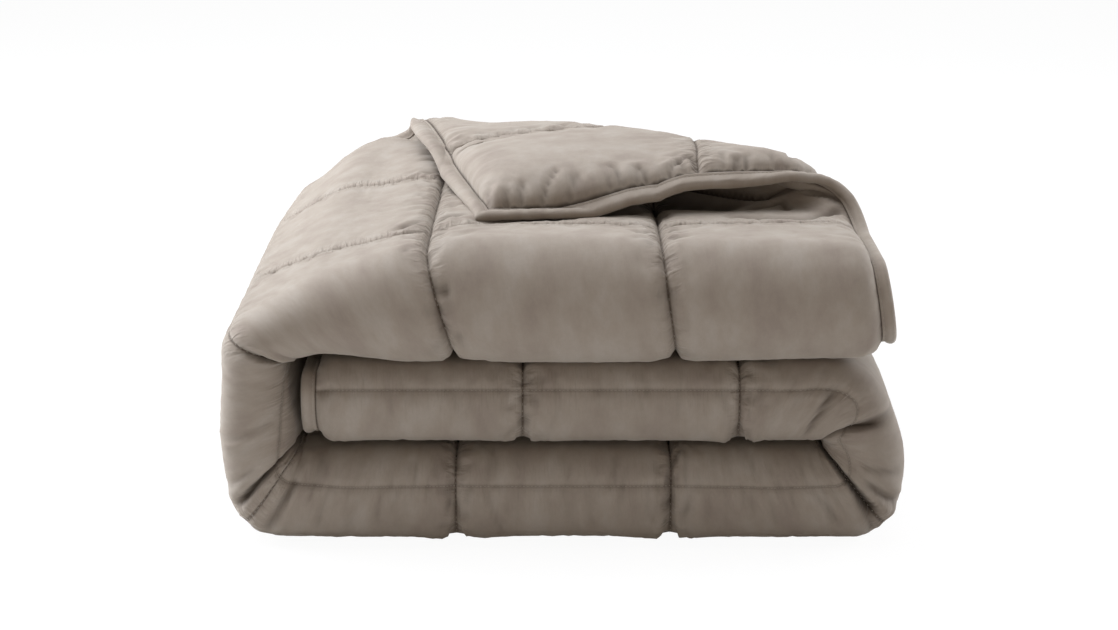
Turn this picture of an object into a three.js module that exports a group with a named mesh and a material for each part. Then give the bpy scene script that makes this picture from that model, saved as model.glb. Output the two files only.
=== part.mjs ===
// A box-quilted duvet, folded in half and then in three, with one corner of its upper side turned back.
// Millimetres, +Z up, the fold at the front (-Y), the floor at z = 0.
//
// The duvet is first drawn flat: "along" runs down its length and "across" runs over its width.
// flatToFolded() carries a flat place to its place in the folded stack, and both pieces are built on it.
import * as THREE from "three";

// Flat duvet
const BOXES_ALONG = 10;
const BOXES_ACROSS = 6;
const LENGTH = 2200;
const WIDTH = 1400;
const BOX_LONG = LENGTH / BOXES_ALONG;
const BOX_WIDE = WIDTH / BOXES_ACROSS;
const HALF_WIDTH = WIDTH / 2;

// Filling: half the thickness at a seam, and how square the side of a box is
const SEAM_HALF = 2.5;
const BOX_FULLNESS = 3;
const BOX_EDGE = 0.6;

// Binding tape
const TAPE_WIDTH = 12;
const TAPE_THICK = 1.6;
const TAPE_GAP = 0.35;

// Turned-back corner: the roll starts this far from the corner, square to the direction below, and is
// tighter at its back end. The filling is pressed thinner in it, and the corner settles on the layer below.
const CORNER_REACH = 339;
const CORNER_ANGLE = THREE.MathUtils.degToRad(49);
const CORNER_RADIUS = 24;
const CORNER_TIGHT_RADIUS = 10;
const CORNER_TIGHT_RUN = 330;
const CORNER_STEPS = 5;
const CORNER_PRESS = 0.7;
const CORNER_FADE = 260;
const CORNER_SETTLE = 260;
const REST_GAP = 2;
const REST_SOFT = 0.25;

// Where the outer sheet of the folded duvet runs, seen from the front. "box" is the seam that lies there.
const OUTER_PATH = [
  { x: -262, z: 175, round: 0, box: 0 },
  { x: -37, z: 176, round: 0, box: 1 },
  { x: 184, z: 176, round: 0, box: 2 },
  { x: 314, z: 176, round: 52, box: null },
  { x: 343, z: 92, round: 90, box: null },
  { x: 338, z: 22.5, round: 20, box: 3 },
  { x: 115, z: 23, round: 0, box: 4 },
  { x: -106, z: 23, round: 0, box: 5 },
  { x: -329, z: 23, round: 20, box: 6 },
  { x: -339, z: 114, round: 120, box: null },
  { x: -334, z: 218, round: 26, box: 7 },
  { x: -245, z: 258, round: 120, box: null },
  { x: -135, z: 295, round: 240, box: 8 },
  { x: 104, z: 297, round: 0, box: 9 },
  { x: 318, z: 296, round: 0, box: 10 },
];

// Where the inner sheet runs, one sheet inside the outer one.
const INNER_PATH = [
  { x: -262, z: 128, round: 0, box: 0 },
  { x: -37, z: 128, round: 0, box: 1 },
  { x: 184, z: 128, round: 0, box: 2 },
  { x: 300, z: 128, round: 25.4, box: null },
  { x: 300, z: 77, round: 25.4, box: 3 },
  { x: 115, z: 77, round: 0, box: 4 },
  { x: -106, z: 77, round: 0, box: 5 },
  { x: -288, z: 77, round: 22, box: 6 },
  { x: -284, z: 128, round: 80, box: null },
  { x: -297, z: 206, round: 18, box: 7 },
  { x: -245, z: 225, round: 60, box: null },
  { x: -109, z: 228.5, round: 120, box: 8 },
  { x: 117, z: 228.5, round: 0, box: 9 },
  { x: 339, z: 228.5, round: 0, box: 10 },
];

// Along the length: how far back the front fold lies, how round it is and how far its seam has rolled
// under. Then half the thickness at a box's crown: out of the fold on the outer and on the inner sheet,
// and inside the fold. Then how far each sheet's seams sink to keep that face flat on what it rests on.
const STRETCHES = [
  { box: 0, front: 22, round: 17, roll: -10, outerOut: 23,
    innerOut: 23.3, inside: 23.2, outerSag: 0, innerSag: 0.6 },
  { box: 2.2, front: 20, round: 17, roll: -10, outerOut: 23,
    innerOut: 23.3, inside: 23, outerSag: 0, innerSag: 0.6 },
  { box: 2.55, front: 18, round: 17, roll: -18, outerOut: 23,
    innerOut: 23.5, inside: 16.5, outerSag: 0, innerSag: 0 },
  { box: 3, front: 16, round: 17, roll: -12, outerOut: 24,
    innerOut: 24, inside: 18, outerSag: 0.3, innerSag: 0 },
  { box: 3.4, front: 14, round: 17, roll: 8, outerOut: 26,
    innerOut: 25.3, inside: 24.8, outerSag: 0.74, innerSag: 0 },
  { box: 5.6, front: 14, round: 17, roll: 8, outerOut: 26,
    innerOut: 25.3, inside: 24.8, outerSag: 0.74, innerSag: 0 },
  { box: 6.1, front: 15, round: 19, roll: 14, outerOut: 22,
    innerOut: 18, inside: 22, outerSag: 0.3, innerSag: 0 },
  { box: 6.8, front: 16, round: 20, roll: 18, outerOut: 20,
    innerOut: 18, inside: 20, outerSag: 0, innerSag: 0 },
  { box: 7.4, front: 10, round: 26, roll: 44, outerOut: 24,
    innerOut: 18, inside: 15.5, outerSag: 0, innerSag: 0.5 },
  { box: 7.75, front: 4, round: 28, roll: 46, outerOut: 28,
    innerOut: 25.5, inside: 25, outerSag: 0, innerSag: 0.85 },
  { box: 8, front: 2, round: 30, roll: 46, outerOut: 29,
    innerOut: 26, inside: 26, outerSag: 0, innerSag: 0.85 },
  { box: 10, front: 2, round: 30, roll: 46, outerOut: 29,
    innerOut: 26, inside: 26, outerSag: 0, innerSag: 0.85 },
];

// Grid lines inside one box, as shares of it: closer on the top layer, and where a layer turns
const PLAIN_LINES = [0, 0.16, 0.5, 0.84];
const CLOSE_LINES = [0, 0.14, 0.38, 0.62, 0.86];
const FIRST_CLOSE_BOX = 7;
const WIDE_LINES = [0, 0.2, 0.8];
const HIDDEN_BOXES = 2;
const TURN_LINES = [2.3, 2.4, 2.6, 2.7, 2.94, 5.94, 6.06, 6.94];
const FOLD_LINES = [-0.06, 0.06, 0.26, 0.36];

/** A polyline with rounded corners as close samples, with the length along it at each seam. */
function roundedPath(rows) {
  const samples = [];
  const seams = [];
  const add = (x, z) => {
    const last = samples[samples.length - 1];
    const run = last ? last.run + Math.hypot(x - last.x, z - last.z) : 0;
    samples.push({ x, z, run });
  };
  rows.forEach((row, i) => {
    const before = rows[i - 1];
    const after = rows[i + 1];
    if (!row.round || !before || !after) {
      add(row.x, row.z);
      if (row.box !== null) seams.push({ box: row.box, run: samples[samples.length - 1].run });
      return;
    }
    const back = new THREE.Vector2(before.x - row.x, before.z - row.z).normalize();
    const ahead = new THREE.Vector2(after.x - row.x, after.z - row.z).normalize();
    const turn = Math.PI - Math.acos(THREE.MathUtils.clamp(back.dot(ahead), -1, 1));
    const reach = row.round * Math.tan(turn / 2);
    const centre = back
      .clone()
      .add(ahead)
      .normalize()
      .multiplyScalar(row.round / Math.cos(turn / 2))
      .add(new THREE.Vector2(row.x, row.z));
    const start = new THREE.Vector2(row.x, row.z).addScaledVector(back, reach).sub(centre);
    const side = back.x * ahead.y - back.y * ahead.x > 0 ? -1 : 1;
    const steps = 12;
    for (let k = 0; k <= steps; k++) {
      const at = start.clone().rotateAround(new THREE.Vector2(), (side * turn * k) / steps);
      add(centre.x + at.x, centre.y + at.y);
      if (row.box !== null && k === steps / 2)
        seams.push({ box: row.box, run: samples[samples.length - 1].run });
    }
  });
  return { samples, seams };
}

/** The value of a table's column at a place, straight between rows and carried on past both ends. */
function between(rows, key, at, value) {
  let i = rows.findIndex((row) => row[key] > at);
  if (i === -1) i = rows.length - 1;
  i = Math.max(i, 1);
  const a = rows[i - 1];
  const b = rows[i];
  return a[value] + ((at - a[key]) / (b[key] - a[key])) * (b[value] - a[value]);
}

/** The point of a rounded path at a seam number, whole or between. */
function pathAt(path, box) {
  const run = between(path.seams, "box", box, "run");
  return {
    x: between(path.samples, "run", run, "x"),
    z: between(path.samples, "run", run, "z"),
  };
}

const outerPath = roundedPath(OUTER_PATH);
const innerPath = roundedPath(INNER_PATH);

/** A column of the table of stretches, held at its end values. */
function stretchValue(box, column) {
  return between(STRETCHES, "box", THREE.MathUtils.clamp(box, 0, BOXES_ALONG), column);
}

/** How far the seams of a sheet sink towards what it rests on, in millimetres. */
function sunk(along, across, sheet) {
  const sag = stretchValue(along / BOX_LONG, `${sheet}Sag`);
  const crown = stretchValue(along / BOX_LONG, `${sheet}Out`);
  const side = sheet === "outer" ? Math.max(across, 1) : Math.min(across, -1);
  return sag * (1 - filling(along, side)) * (crown - SEAM_HALF);
}

/** A flat place on the folded stack, before its corner is turned back. */
function layered(along, across) {
  const box = along / BOX_LONG;
  const outer = pathAt(outerPath, box);
  const inner = pathAt(innerPath, box);
  const round = stretchValue(box, "round");
  const apart = Math.hypot(outer.x - inner.x, outer.z - inner.z);
  const quarter = (Math.PI / 2) * Math.sqrt((round * round + Math.min(apart / 2, 30) ** 2) / 2);
  const roll = stretchValue(box, "roll") * (1 - Math.max(-across / HALF_WIDTH, 0));
  const from = across - roll;
  const angle = THREE.MathUtils.clamp((from / quarter) * (Math.PI / 2), -Math.PI / 2, Math.PI / 2);
  const lean = Math.sin(angle);
  const sink = lean > 0 ? sunk(along, across, "outer") : sunk(along, across, "inner");
  const share = (1 + lean) / 2 + (lean * sink) / apart;
  const past = Math.max(Math.abs(from) - quarter, 0);
  return new THREE.Vector3(
    inner.x + (outer.x - inner.x) * share,
    stretchValue(box, "front") + round * (1 - Math.cos(angle)) + past,
    inner.z + (outer.z - inner.z) * share,
  );
}

/** The unit normal of a surface given by a function of flat places, on the outer side. */
function normalOf(surface, along, across) {
  const step = 1.5;
  const a = surface(along + step, across).sub(surface(along - step, across));
  const b = surface(along, across + step).sub(surface(along, across - step));
  return a.cross(b).normalize();
}

/** How full one direction of a box is, 0 at its seams and 1 at its middle. */
function fullness(at, size, total) {
  const index = THREE.MathUtils.clamp(Math.floor(at / size), 0, Math.round(total / size) - 1);
  const from = Math.max(index * size, TAPE_WIDTH);
  const to = Math.min((index + 1) * size, total - TAPE_WIDTH);
  const share = THREE.MathUtils.clamp((at - from) / (to - from), 0, 1);
  return (1 - Math.abs(2 * share - 1) ** BOX_FULLNESS) ** BOX_EDGE;
}

/** How full the quilt is at a flat place, 0 at a seam and 1 at a crown. */
function filling(along, across) {
  return fullness(along, BOX_LONG, LENGTH) * fullness(across + HALF_WIDTH, BOX_WIDE, WIDTH);
}

const cornerOut = new THREE.Vector2(Math.cos(CORNER_ANGLE), Math.sin(CORNER_ANGLE));

/** How far a flat place lies past the line where the corner starts to roll. */
function pastCornerLine(along, across) {
  const toCorner = (LENGTH - along) * cornerOut.x + (HALF_WIDTH - across) * cornerOut.y;
  return CORNER_REACH - toCorner;
}

/** The radius of the corner's roll beside a flat place. */
function cornerRadius(along, across) {
  const run = (LENGTH - along) * cornerOut.y - (HALF_WIDTH - across) * cornerOut.x;
  const fromBack = CORNER_REACH * (cornerOut.y / cornerOut.x) - run;
  const share = THREE.MathUtils.smoothstep(fromBack, 0, CORNER_TIGHT_RUN);
  return CORNER_TIGHT_RADIUS + (CORNER_RADIUS - CORNER_TIGHT_RADIUS) * share;
}

/** Half the quilt's thickness at a flat place, out of the fold or inside it. */
function halfThickness(along, across, face) {
  const column = face === "inside" ? face : across > 0 ? "outerOut" : "innerOut";
  const crown = stretchValue(along / BOX_LONG, column);
  const past = pastCornerLine(along, across);
  const radius = cornerRadius(along, across);
  const fromRoll = across > 0 ? Math.max(-past, past - Math.PI * radius, 0) : CORNER_FADE;
  const press = (CORNER_PRESS * radius) / CORNER_RADIUS;
  const pressed = press + (1 - press) * Math.min(fromRoll / CORNER_FADE, 1);
  return SEAM_HALF + (crown * pressed - SEAM_HALF) * filling(along, across);
}

/** A flat place in the folded stack, with the corner turned back. */
function flatToFolded(along, across) {
  const past = pastCornerLine(along, across);
  if (past <= 0 || across <= 0) return layered(along, across);
  const radius = cornerRadius(along, across);
  const roll = Math.PI * radius;
  const rolled = Math.min(past, roll) / radius;
  const shift = radius * Math.sin(rolled) - Math.max(past - roll, 0) - past;
  const a = along + shift * cornerOut.x;
  const b = across + shift * cornerOut.y;
  const tape = SEAM_HALF + TAPE_GAP + TAPE_THICK;
  const own = Math.max(halfThickness(along, across, "out"), tape);
  const crown = stretchValue(a / BOX_LONG, "outerOut");
  const under = REST_SOFT * crown + (1 - REST_SOFT) * halfThickness(a, b, "out");
  const settled = THREE.MathUtils.smoothstep(past - roll, 0, CORNER_SETTLE);
  const rise = radius * (1 - Math.cos(rolled));
  const height = rise * (1 - settled) + (REST_GAP + own + under) * settled;
  return layered(a, b).addScaledVector(normalOf(layered, a, b), height);
}

/** Sorted grid lines in millimetres for one direction, from the lines of each box. */
function gridLines(boxes, size, linesOf, extra) {
  const total = boxes * size;
  const lines = [TAPE_WIDTH, total - TAPE_WIDTH, total];
  for (let box = 0; box < boxes; box++)
    lines.push(...linesOf(box).map((share) => (box + share) * size));
  lines.push(...extra.map((at) => at * size));
  return lines
    .sort((a, b) => a - b)
    .filter((line, i) => i === 0 || line - lines[i - 1] > 2);
}

/** The flat quilt as triangles, cut along lines so that the turned-back corner can roll. */
function flatTriangles() {
  const alongLines = gridLines(
    BOXES_ALONG,
    BOX_LONG,
    (at) => (at < FIRST_CLOSE_BOX ? PLAIN_LINES : CLOSE_LINES),
    TURN_LINES,
  );
  const acrossLines = gridLines(
    BOXES_ACROSS,
    BOX_WIDE,
    (at) => (at < HIDDEN_BOXES ? WIDE_LINES : PLAIN_LINES),
    FOLD_LINES.map((at) => at + BOXES_ACROSS / 2),
  ).map((line) => line - HALF_WIDTH);
  const places = alongLines.flatMap((along) => acrossLines.map((across) => ({ along, across })));
  const rows = acrossLines.length;
  let triangles = [];
  for (let i = 0; i + 1 < alongLines.length; i++)
    for (let j = 0; j + 1 < rows; j++) {
      const p = i * rows + j;
      triangles.push([p, p + rows, p + 1], [p + rows, p + rows + 1, p + 1]);
    }
  for (let k = 0; k <= CORNER_STEPS; k++) {
    triangles = cutAlong(places, triangles, ({ along, across }) => {
      const roll = Math.PI * cornerRadius(along, across);
      return pastCornerLine(along, across) - (k / CORNER_STEPS) * roll;
    });
  }
  return { places, triangles };
}

/** Cuts every triangle that a line crosses. */
function cutAlong(places, triangles, distance) {
  const near = 1.2;
  const made = new Map();
  const side = (p) => {
    const d = distance(places[p]);
    return Math.abs(d) < near ? 0 : Math.sign(d);
  };
  const crossing = (p, q) => {
    const key = p < q ? `${p} ${q}` : `${q} ${p}`;
    if (!made.has(key)) {
      const [a, b] = [places[Math.min(p, q)], places[Math.max(p, q)]];
      const share = distance(a) / (distance(a) - distance(b));
      places.push({
        along: a.along + (b.along - a.along) * share,
        across: a.across + (b.across - a.across) * share,
      });
      made.set(key, places.length - 1);
    }
    return made.get(key);
  };
  return triangles.flatMap((triangle) => {
    const sides = triangle.map(side);
    if (!sides.includes(1) || !sides.includes(-1)) return [triangle];
    const lone = sides.findIndex((s, i) => s && s !== sides[(i + 1) % 3] && s !== sides[(i + 2) % 3]);
    const [a, b, c] = [0, 1, 2].map((k) => triangle[(lone + k) % 3]);
    if (side(b) === 0) return [[a, b, crossing(a, c)], [b, c, crossing(a, c)]];
    if (side(c) === 0) return [[a, crossing(a, b), c], [crossing(a, b), b, c]];
    const ab = crossing(a, b);
    const ac = crossing(a, c);
    return [
      [a, ab, ac],
      [ab, b, ac],
      [b, c, ac],
    ];
  });
}

/** The open edges of some triangles, in the triangles' own direction. */
function openEdges(triangles) {
  const edges = triangles.flatMap(([a, b, c]) => [
    [a, b],
    [b, c],
    [c, a],
  ]);
  const known = new Set(edges.map(([a, b]) => `${a} ${b}`));
  return edges.filter(([a, b]) => !known.has(`${b} ${a}`));
}

/** Keeps a point on or above the floor. */
function onFloor(point) {
  point.z = Math.max(point.z, 0);
  return point;
}

/** The filled quilt: both faces off the middle surface, closed round the rim. */
function quiltGeometry({ places, triangles }) {
  const middle = places.map(({ along, across }) => flatToFolded(along, across));
  const normal = places.map(({ along, across }) => normalOf(flatToFolded, along, across));
  const half = places.map(({ along, across }) =>
    ["out", "inside"].map((face) => halfThickness(along, across, face)),
  );
  const offset = (p, face) =>
    middle[p].clone().addScaledVector(normal[p], face === 0 ? half[p][0] : -half[p][1]);
  const facing = ([a, b, c]) => b.clone().sub(a).cross(c.clone().sub(a));
  for (let pass = 0; pass < 12; pass++)
    for (const triangle of triangles) {
      const own = facing(triangle.map((p) => middle[p]));
      for (const face of [0, 1])
        if (facing(triangle.map((p) => offset(p, face))).dot(own) <= 0)
          triangle.forEach((p) => (half[p][face] *= 0.9));
    }
  const count = places.length;
  const points = [0, 1].flatMap((face) => places.map((_, p) => onFloor(offset(p, face))));
  const faces = triangles.flatMap(([a, b, c]) => [
    [a, b, c],
    [a + count, c + count, b + count],
  ]);
  for (const [a, b] of openEdges(triangles))
    faces.push([a, a + count, b], [b, a + count, b + count]);
  return geometryOf(points, faces);
}

/** A place of the rim strip moved outwards from the rim by one distance, or inwards at its inner edge. */
function nudged({ along, across }, outwards, inwards) {
  const inner = TAPE_WIDTH - 0.01;
  const move = (at, half) => {
    const toRim = half - Math.abs(at);
    const by = toRim < 0.01 ? outwards : toRim < inner ? 0 : toRim < TAPE_WIDTH + 0.01 ? inwards : 0;
    return at + Math.sign(at) * by;
  };
  return [
    move(along - LENGTH / 2, LENGTH / 2) + LENGTH / 2,
    move(across, HALF_WIDTH),
  ];
}

/** The binding: a tape folded over the rim strip, one closed ring. */
function bindingGeometry({ places, triangles }) {
  const toRim = ({ along, across }) =>
    Math.min(along, LENGTH - along, HALF_WIDTH - Math.abs(across));
  const strip = triangles.filter((t) => t.every((p) => toRim(places[p]) < TAPE_WIDTH + 0.01));
  const inside = SEAM_HALF + TAPE_GAP;
  const outside = inside + TAPE_THICK;
  const sheets = [
    { up: outside, out: TAPE_GAP + TAPE_THICK },
    { up: inside, out: TAPE_GAP },
    { up: -inside, out: TAPE_GAP },
    { up: -outside, out: TAPE_GAP + TAPE_THICK },
  ];
  const count = places.length;
  const points = sheets.flatMap(({ up, out }) =>
    places.map((place) => {
      const [along, across] = nudged(place, out, TAPE_GAP);
      return onFloor(
        flatToFolded(along, across).addScaledVector(normalOf(flatToFolded, along, across), up),
      );
    }),
  );
  const faces = strip.flatMap(([a, b, c]) =>
    sheets.map((_, k) =>
      k % 2 === 0
        ? [a + k * count, b + k * count, c + k * count]
        : [a + k * count, c + k * count, b + k * count],
    ),
  );
  const join = (a, b, upper, lower) =>
    faces.push(
      [a + upper * count, a + lower * count, b + upper * count],
      [b + upper * count, a + lower * count, b + lower * count],
    );
  for (const [a, b] of openEdges(strip))
    if (toRim(places[a]) < 0.01 && toRim(places[b]) < 0.01) {
      join(a, b, 0, 3);
      faces.push(
        [a + count, b + count, a + 2 * count],
        [b + count, b + 2 * count, a + 2 * count],
      );
    } else {
      join(a, b, 0, 1);
      join(a, b, 2, 3);
    }
  return geometryOf(points, faces);
}

/** A geometry from points and triangles of point numbers, without the points that no triangle uses. */
function geometryOf(points, faces) {
  const used = [...new Set(faces.flat())];
  const place = new Map(used.map((p, i) => [p, i]));
  const geometry = new THREE.BufferGeometry();
  const numbers = used.flatMap((p) => points[p].toArray());
  geometry.setAttribute("position", new THREE.Float32BufferAttribute(numbers, 3));
  geometry.setIndex(faces.flat().map((p) => place.get(p)));
  return geometry;
}

/** A named mesh with its own material. */
function piece(name, geometry, colour, roughness) {
  geometry.computeVertexNormals();
  const mesh = new THREE.Mesh(
    geometry,
    new THREE.MeshStandardMaterial({ color: colour, roughness, metalness: 0 }),
  );
  mesh.name = name;
  return mesh;
}

const flat = flatTriangles();
const quilt = piece("quilt", quiltGeometry(flat), 0xa39a90, 0.85);
const binding = piece("binding", bindingGeometry(flat), 0x9c9389, 0.8);

const duvet = new THREE.Group();
duvet.name = "duvet";
duvet.add(quilt, binding);

// The stack is centred over the origin.
const box = new THREE.Box3().setFromObject(duvet);
for (const mesh of [quilt, binding])
  mesh.geometry.translate(-(box.min.x + box.max.x) / 2, -(box.min.y + box.max.y) / 2, -box.min.z);

export default duvet;
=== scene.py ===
"""A box-quilted duvet, folded in half and then in three, with one corner turned back.

The duvet is drawn flat first: "along" runs down its length and "across" runs over its width, both
in millimetres. FoldPlan carries flat places to the folded stack, and each piece is built on it.
"""

import logging
import math
from collections.abc import Callable
from dataclasses import dataclass, field
from enum import Enum

import bpy
import numpy as np
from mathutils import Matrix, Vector


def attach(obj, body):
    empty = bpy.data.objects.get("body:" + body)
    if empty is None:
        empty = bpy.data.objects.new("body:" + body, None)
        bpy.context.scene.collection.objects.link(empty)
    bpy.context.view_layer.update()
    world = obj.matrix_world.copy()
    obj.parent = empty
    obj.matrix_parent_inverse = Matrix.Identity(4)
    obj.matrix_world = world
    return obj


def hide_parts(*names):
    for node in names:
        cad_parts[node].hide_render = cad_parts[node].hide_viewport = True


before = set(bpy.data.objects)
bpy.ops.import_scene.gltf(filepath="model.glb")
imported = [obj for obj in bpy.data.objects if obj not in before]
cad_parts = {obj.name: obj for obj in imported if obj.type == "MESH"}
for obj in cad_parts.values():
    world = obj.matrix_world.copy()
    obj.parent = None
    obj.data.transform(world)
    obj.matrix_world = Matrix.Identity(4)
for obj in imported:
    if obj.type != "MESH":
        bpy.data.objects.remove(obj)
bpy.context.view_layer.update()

LOG = logging.getLogger("duvet")
Array = np.ndarray
Socket = bpy.types.NodeSocket
MM = 0.001
# Where the folded stack stands in the frame, in millimetres from the fold plan's own origin.
STACK_SHIFT = (-0.9485, -349.4388, 0.0)


class Face(Enum):
    """The two faces of the quilt, by the way they face in the folded stack."""

    OUT = 0
    INSIDE = 1


@dataclass(frozen=True)
class Sizes:
    """The duvet's sizes, in millimetres, laid flat."""

    boxes_along: int = 10
    boxes_across: int = 6
    length: float = 2200.0
    width: float = 1400.0
    # Half the quilt's thickness, at its thinnest in a seam and under the tape.
    seam_half: float = 1.2
    rim_half: float = 2.4
    tape_width: float = 12.0

    @property
    def box_long(self) -> float:
        """The length of one box."""
        return self.length / self.boxes_along

    @property
    def box_wide(self) -> float:
        """The width of one box."""
        return self.width / self.boxes_across

    @property
    def half_width(self) -> float:
        """Half the duvet's width."""
        return self.width / 2

    def box_span(self, at: Array, size: float, total: float) -> tuple[Array, Array]:
        """Where the box at flat places starts and ends in one direction, less the tape.

        Args:
            at: flat places in that direction, from the duvet's edge.
            size: the size of a box.
            total: the duvet's size.

        Returns:
            Its start and its end.
        """
        index = np.clip(np.floor(at / size), 0, round(total / size) - 1)
        low = np.maximum(index * size, self.tape_width)
        return low, np.minimum((index + 1) * size, total - self.tape_width)


# Where the outer sheet runs, seen from the front: x, z, corner radius, and the seam that is there.
OUTER_PATH = (
    (-262, 175, 0, 0), (-37, 176, 0, 1), (184, 176, 0, 2), (309, 176, 52, None),
    (338, 92, 90, None), (332, 22.5, 30, 3), (115, 23, 0, 4), (-106, 23, 0, 5),
    (-321, 23, 38, 6), (-331, 114, 120, None), (-325, 214, 30, 7), (-240, 258, 120, None),
    (-131, 295, 240, 8), (104, 297, 0, 9), (327, 296, 0, 10),
)
# Where the inner sheet runs, one sheet inside the outer one, in the same columns.
INNER_PATH = (
    (-262, 128, 0, 0), (-37, 128, 0, 1), (184, 128, 0, 2), (291, 128, 25.4, None),
    (291, 77, 25.4, 3), (115, 77, 0, 4), (-106, 77, 0, 5), (-288, 77, 22, 6),
    (-284, 128, 80, None), (-297, 206, 18, 7), (-245, 225, 60, None), (-109, 228.5, 120, 8),
    (117, 228.5, 0, 9), (339, 228.5, 0, 10),
)
# Along the length: how far back the front fold lies, how round it is, how far its seam has rolled
# under, the crowns' half thickness (outer, inner, inside) and how far each sheet's seams sink.
STRETCH_COLUMNS = (
    "box", "front", "round", "roll", "outer", "inner", "inside", "outer_sag", "inner_sag"
)
STRETCHES = (
    (0, 22, 17, -10, 23, 23.3, 23.2, 0, 0.45),
    (2.2, 20, 17, -10, 23, 23.3, 23, 0, 0.45),
    (2.52, 18, 17, -16, 23, 23.5, 16.5, 0, 0),
    (2.68, 18, 17, 16, 23, 23.5, 16.5, 0, 0),
    (3, 16, 17, 10, 24, 24, 18, 0.1, 0),
    (3.4, 14, 17, 8, 26, 25.3, 24.8, 0.48, 0),
    (5.6, 14, 17, 8, 26, 25.3, 24.8, 0.48, 0),
    (6.1, 15, 19, 14, 22, 18, 22, 0.1, 0),
    (6.8, 16, 20, 24, 20, 18, 20, 0, 0),
    (7.4, 10, 26, 100, 24, 18, 15.5, 0, 0.3),
    (7.75, 4, 28, 124, 28, 20, 22, 0, 0.5),
    (8, 2, 30, 128, 29, 20, 22, 0, 0.5),
    (9, 2, 30, 114, 29, 20, 22, 0, 0.5),
    (10, 2, 30, 78, 29, 20, 22, 0, 0.5),
)

# Where the stack stands higher or lower: seam number and place across of the middle, its reach each
# way (boxes, and millimetres) and its rise.
RISES = (
    (7.66, 650, 0.4, 220, 30),
    (7.28, 600, 0.3, 320, 14),
    (7.62, 690, 0.12, 60, 8),
    (10.0, -40, 0.25, 70, -9),
    (9.3, 420, 0.8, 200, -5),
    (4.5, 20, 1.7, 60, 5.5),
    (8.6, 540, 0.6, 130, 8),
)


def smoothstep(at: Array, low: float, high: float) -> Array:
    """A smooth rise from 0 at low to 1 at high.

    Args:
        at: the places.
        low: where the rise starts.
        high: where it ends.

    Returns:
        The rise at each place.
    """
    share = np.clip((at - low) / (high - low), 0.0, 1.0)
    return share * share * (3.0 - 2.0 * share)


def carried_on(at: Array, known: Array, values: Array) -> Array:
    """Straight interpolation, carried on past both ends.

    Args:
        at: where values are wanted.
        known: rising places with a value.
        values: the values there.

    Returns:
        The values at each place wanted.
    """
    i = np.clip(np.searchsorted(known, at, side="right"), 1, len(known) - 1)
    share = (at - known[i - 1]) / (known[i] - known[i - 1])
    return values[i - 1] + share * (values[i] - values[i - 1])


def unit(vectors: Array) -> Array:
    """The vectors at length 1."""
    return vectors / np.maximum(np.linalg.norm(vectors, axis=-1, keepdims=True), 1e-9)


def lattice_quads(index: Array) -> Array:
    """The four corners of every cell of a lattice.

    Args:
        index: the point number at each place of the lattice.

    Returns:
        Four point numbers for each cell.
    """
    return np.stack((index[:-1, :-1], index[1:, :-1], index[1:, 1:], index[:-1, 1:]), axis=-1)


class SheetPath:
    """A polyline with rounded corners, as one sheet of the duvet runs round the stack."""

    ARC_STEPS = 24

    def __init__(self, rows: tuple[tuple[float, float, float, float | None], ...]) -> None:
        """Samples the polyline closely.

        Args:
            rows: x, z, corner radius and seam number of each corner.
        """
        points: list[Array] = []
        seams: list[tuple[float, int]] = []
        for i, (x, z, radius, box) in enumerate(rows):
            corner = np.array((x, z), float)
            if not radius:
                points.append(corner)
                if box is not None:
                    seams.append((box, len(points) - 1))
                continue
            back = unit(np.array(rows[i - 1][:2], float) - corner)
            ahead = unit(np.array(rows[i + 1][:2], float) - corner)
            turn = math.pi - math.acos(float(np.clip(back @ ahead, -1, 1)))
            centre = corner + unit(back + ahead) * radius / math.cos(turn / 2)
            start = corner + back * radius * math.tan(turn / 2) - centre
            side = -1 if back[0] * ahead[1] - back[1] * ahead[0] > 0 else 1
            for k in range(self.ARC_STEPS + 1):
                angle = side * turn * k / self.ARC_STEPS
                c, s = math.cos(angle), math.sin(angle)
                turned = (c * start[0] - s * start[1], s * start[0] + c * start[1])
                points.append(centre + np.array(turned))
                if box is not None and k == self.ARC_STEPS // 2:
                    seams.append((box, len(points) - 1))
        self.points = np.array(points)
        steps = np.linalg.norm(np.diff(self.points, axis=0), axis=1)
        self.runs = np.concatenate(([0.0], np.cumsum(steps)))
        self.seam_boxes = np.array([box for box, _ in seams], float)
        self.seam_runs = self.runs[[i for _, i in seams]]

    def at(self, box: Array) -> tuple[Array, Array]:
        """The sheet's place at a seam number, whole or between.

        Args:
            box: seam numbers.

        Returns:
            x and z there.
        """
        run = carried_on(box, self.seam_boxes, self.seam_runs)
        return (
            carried_on(run, self.runs, self.points[:, 0]),
            carried_on(run, self.runs, self.points[:, 1]),
        )


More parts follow.
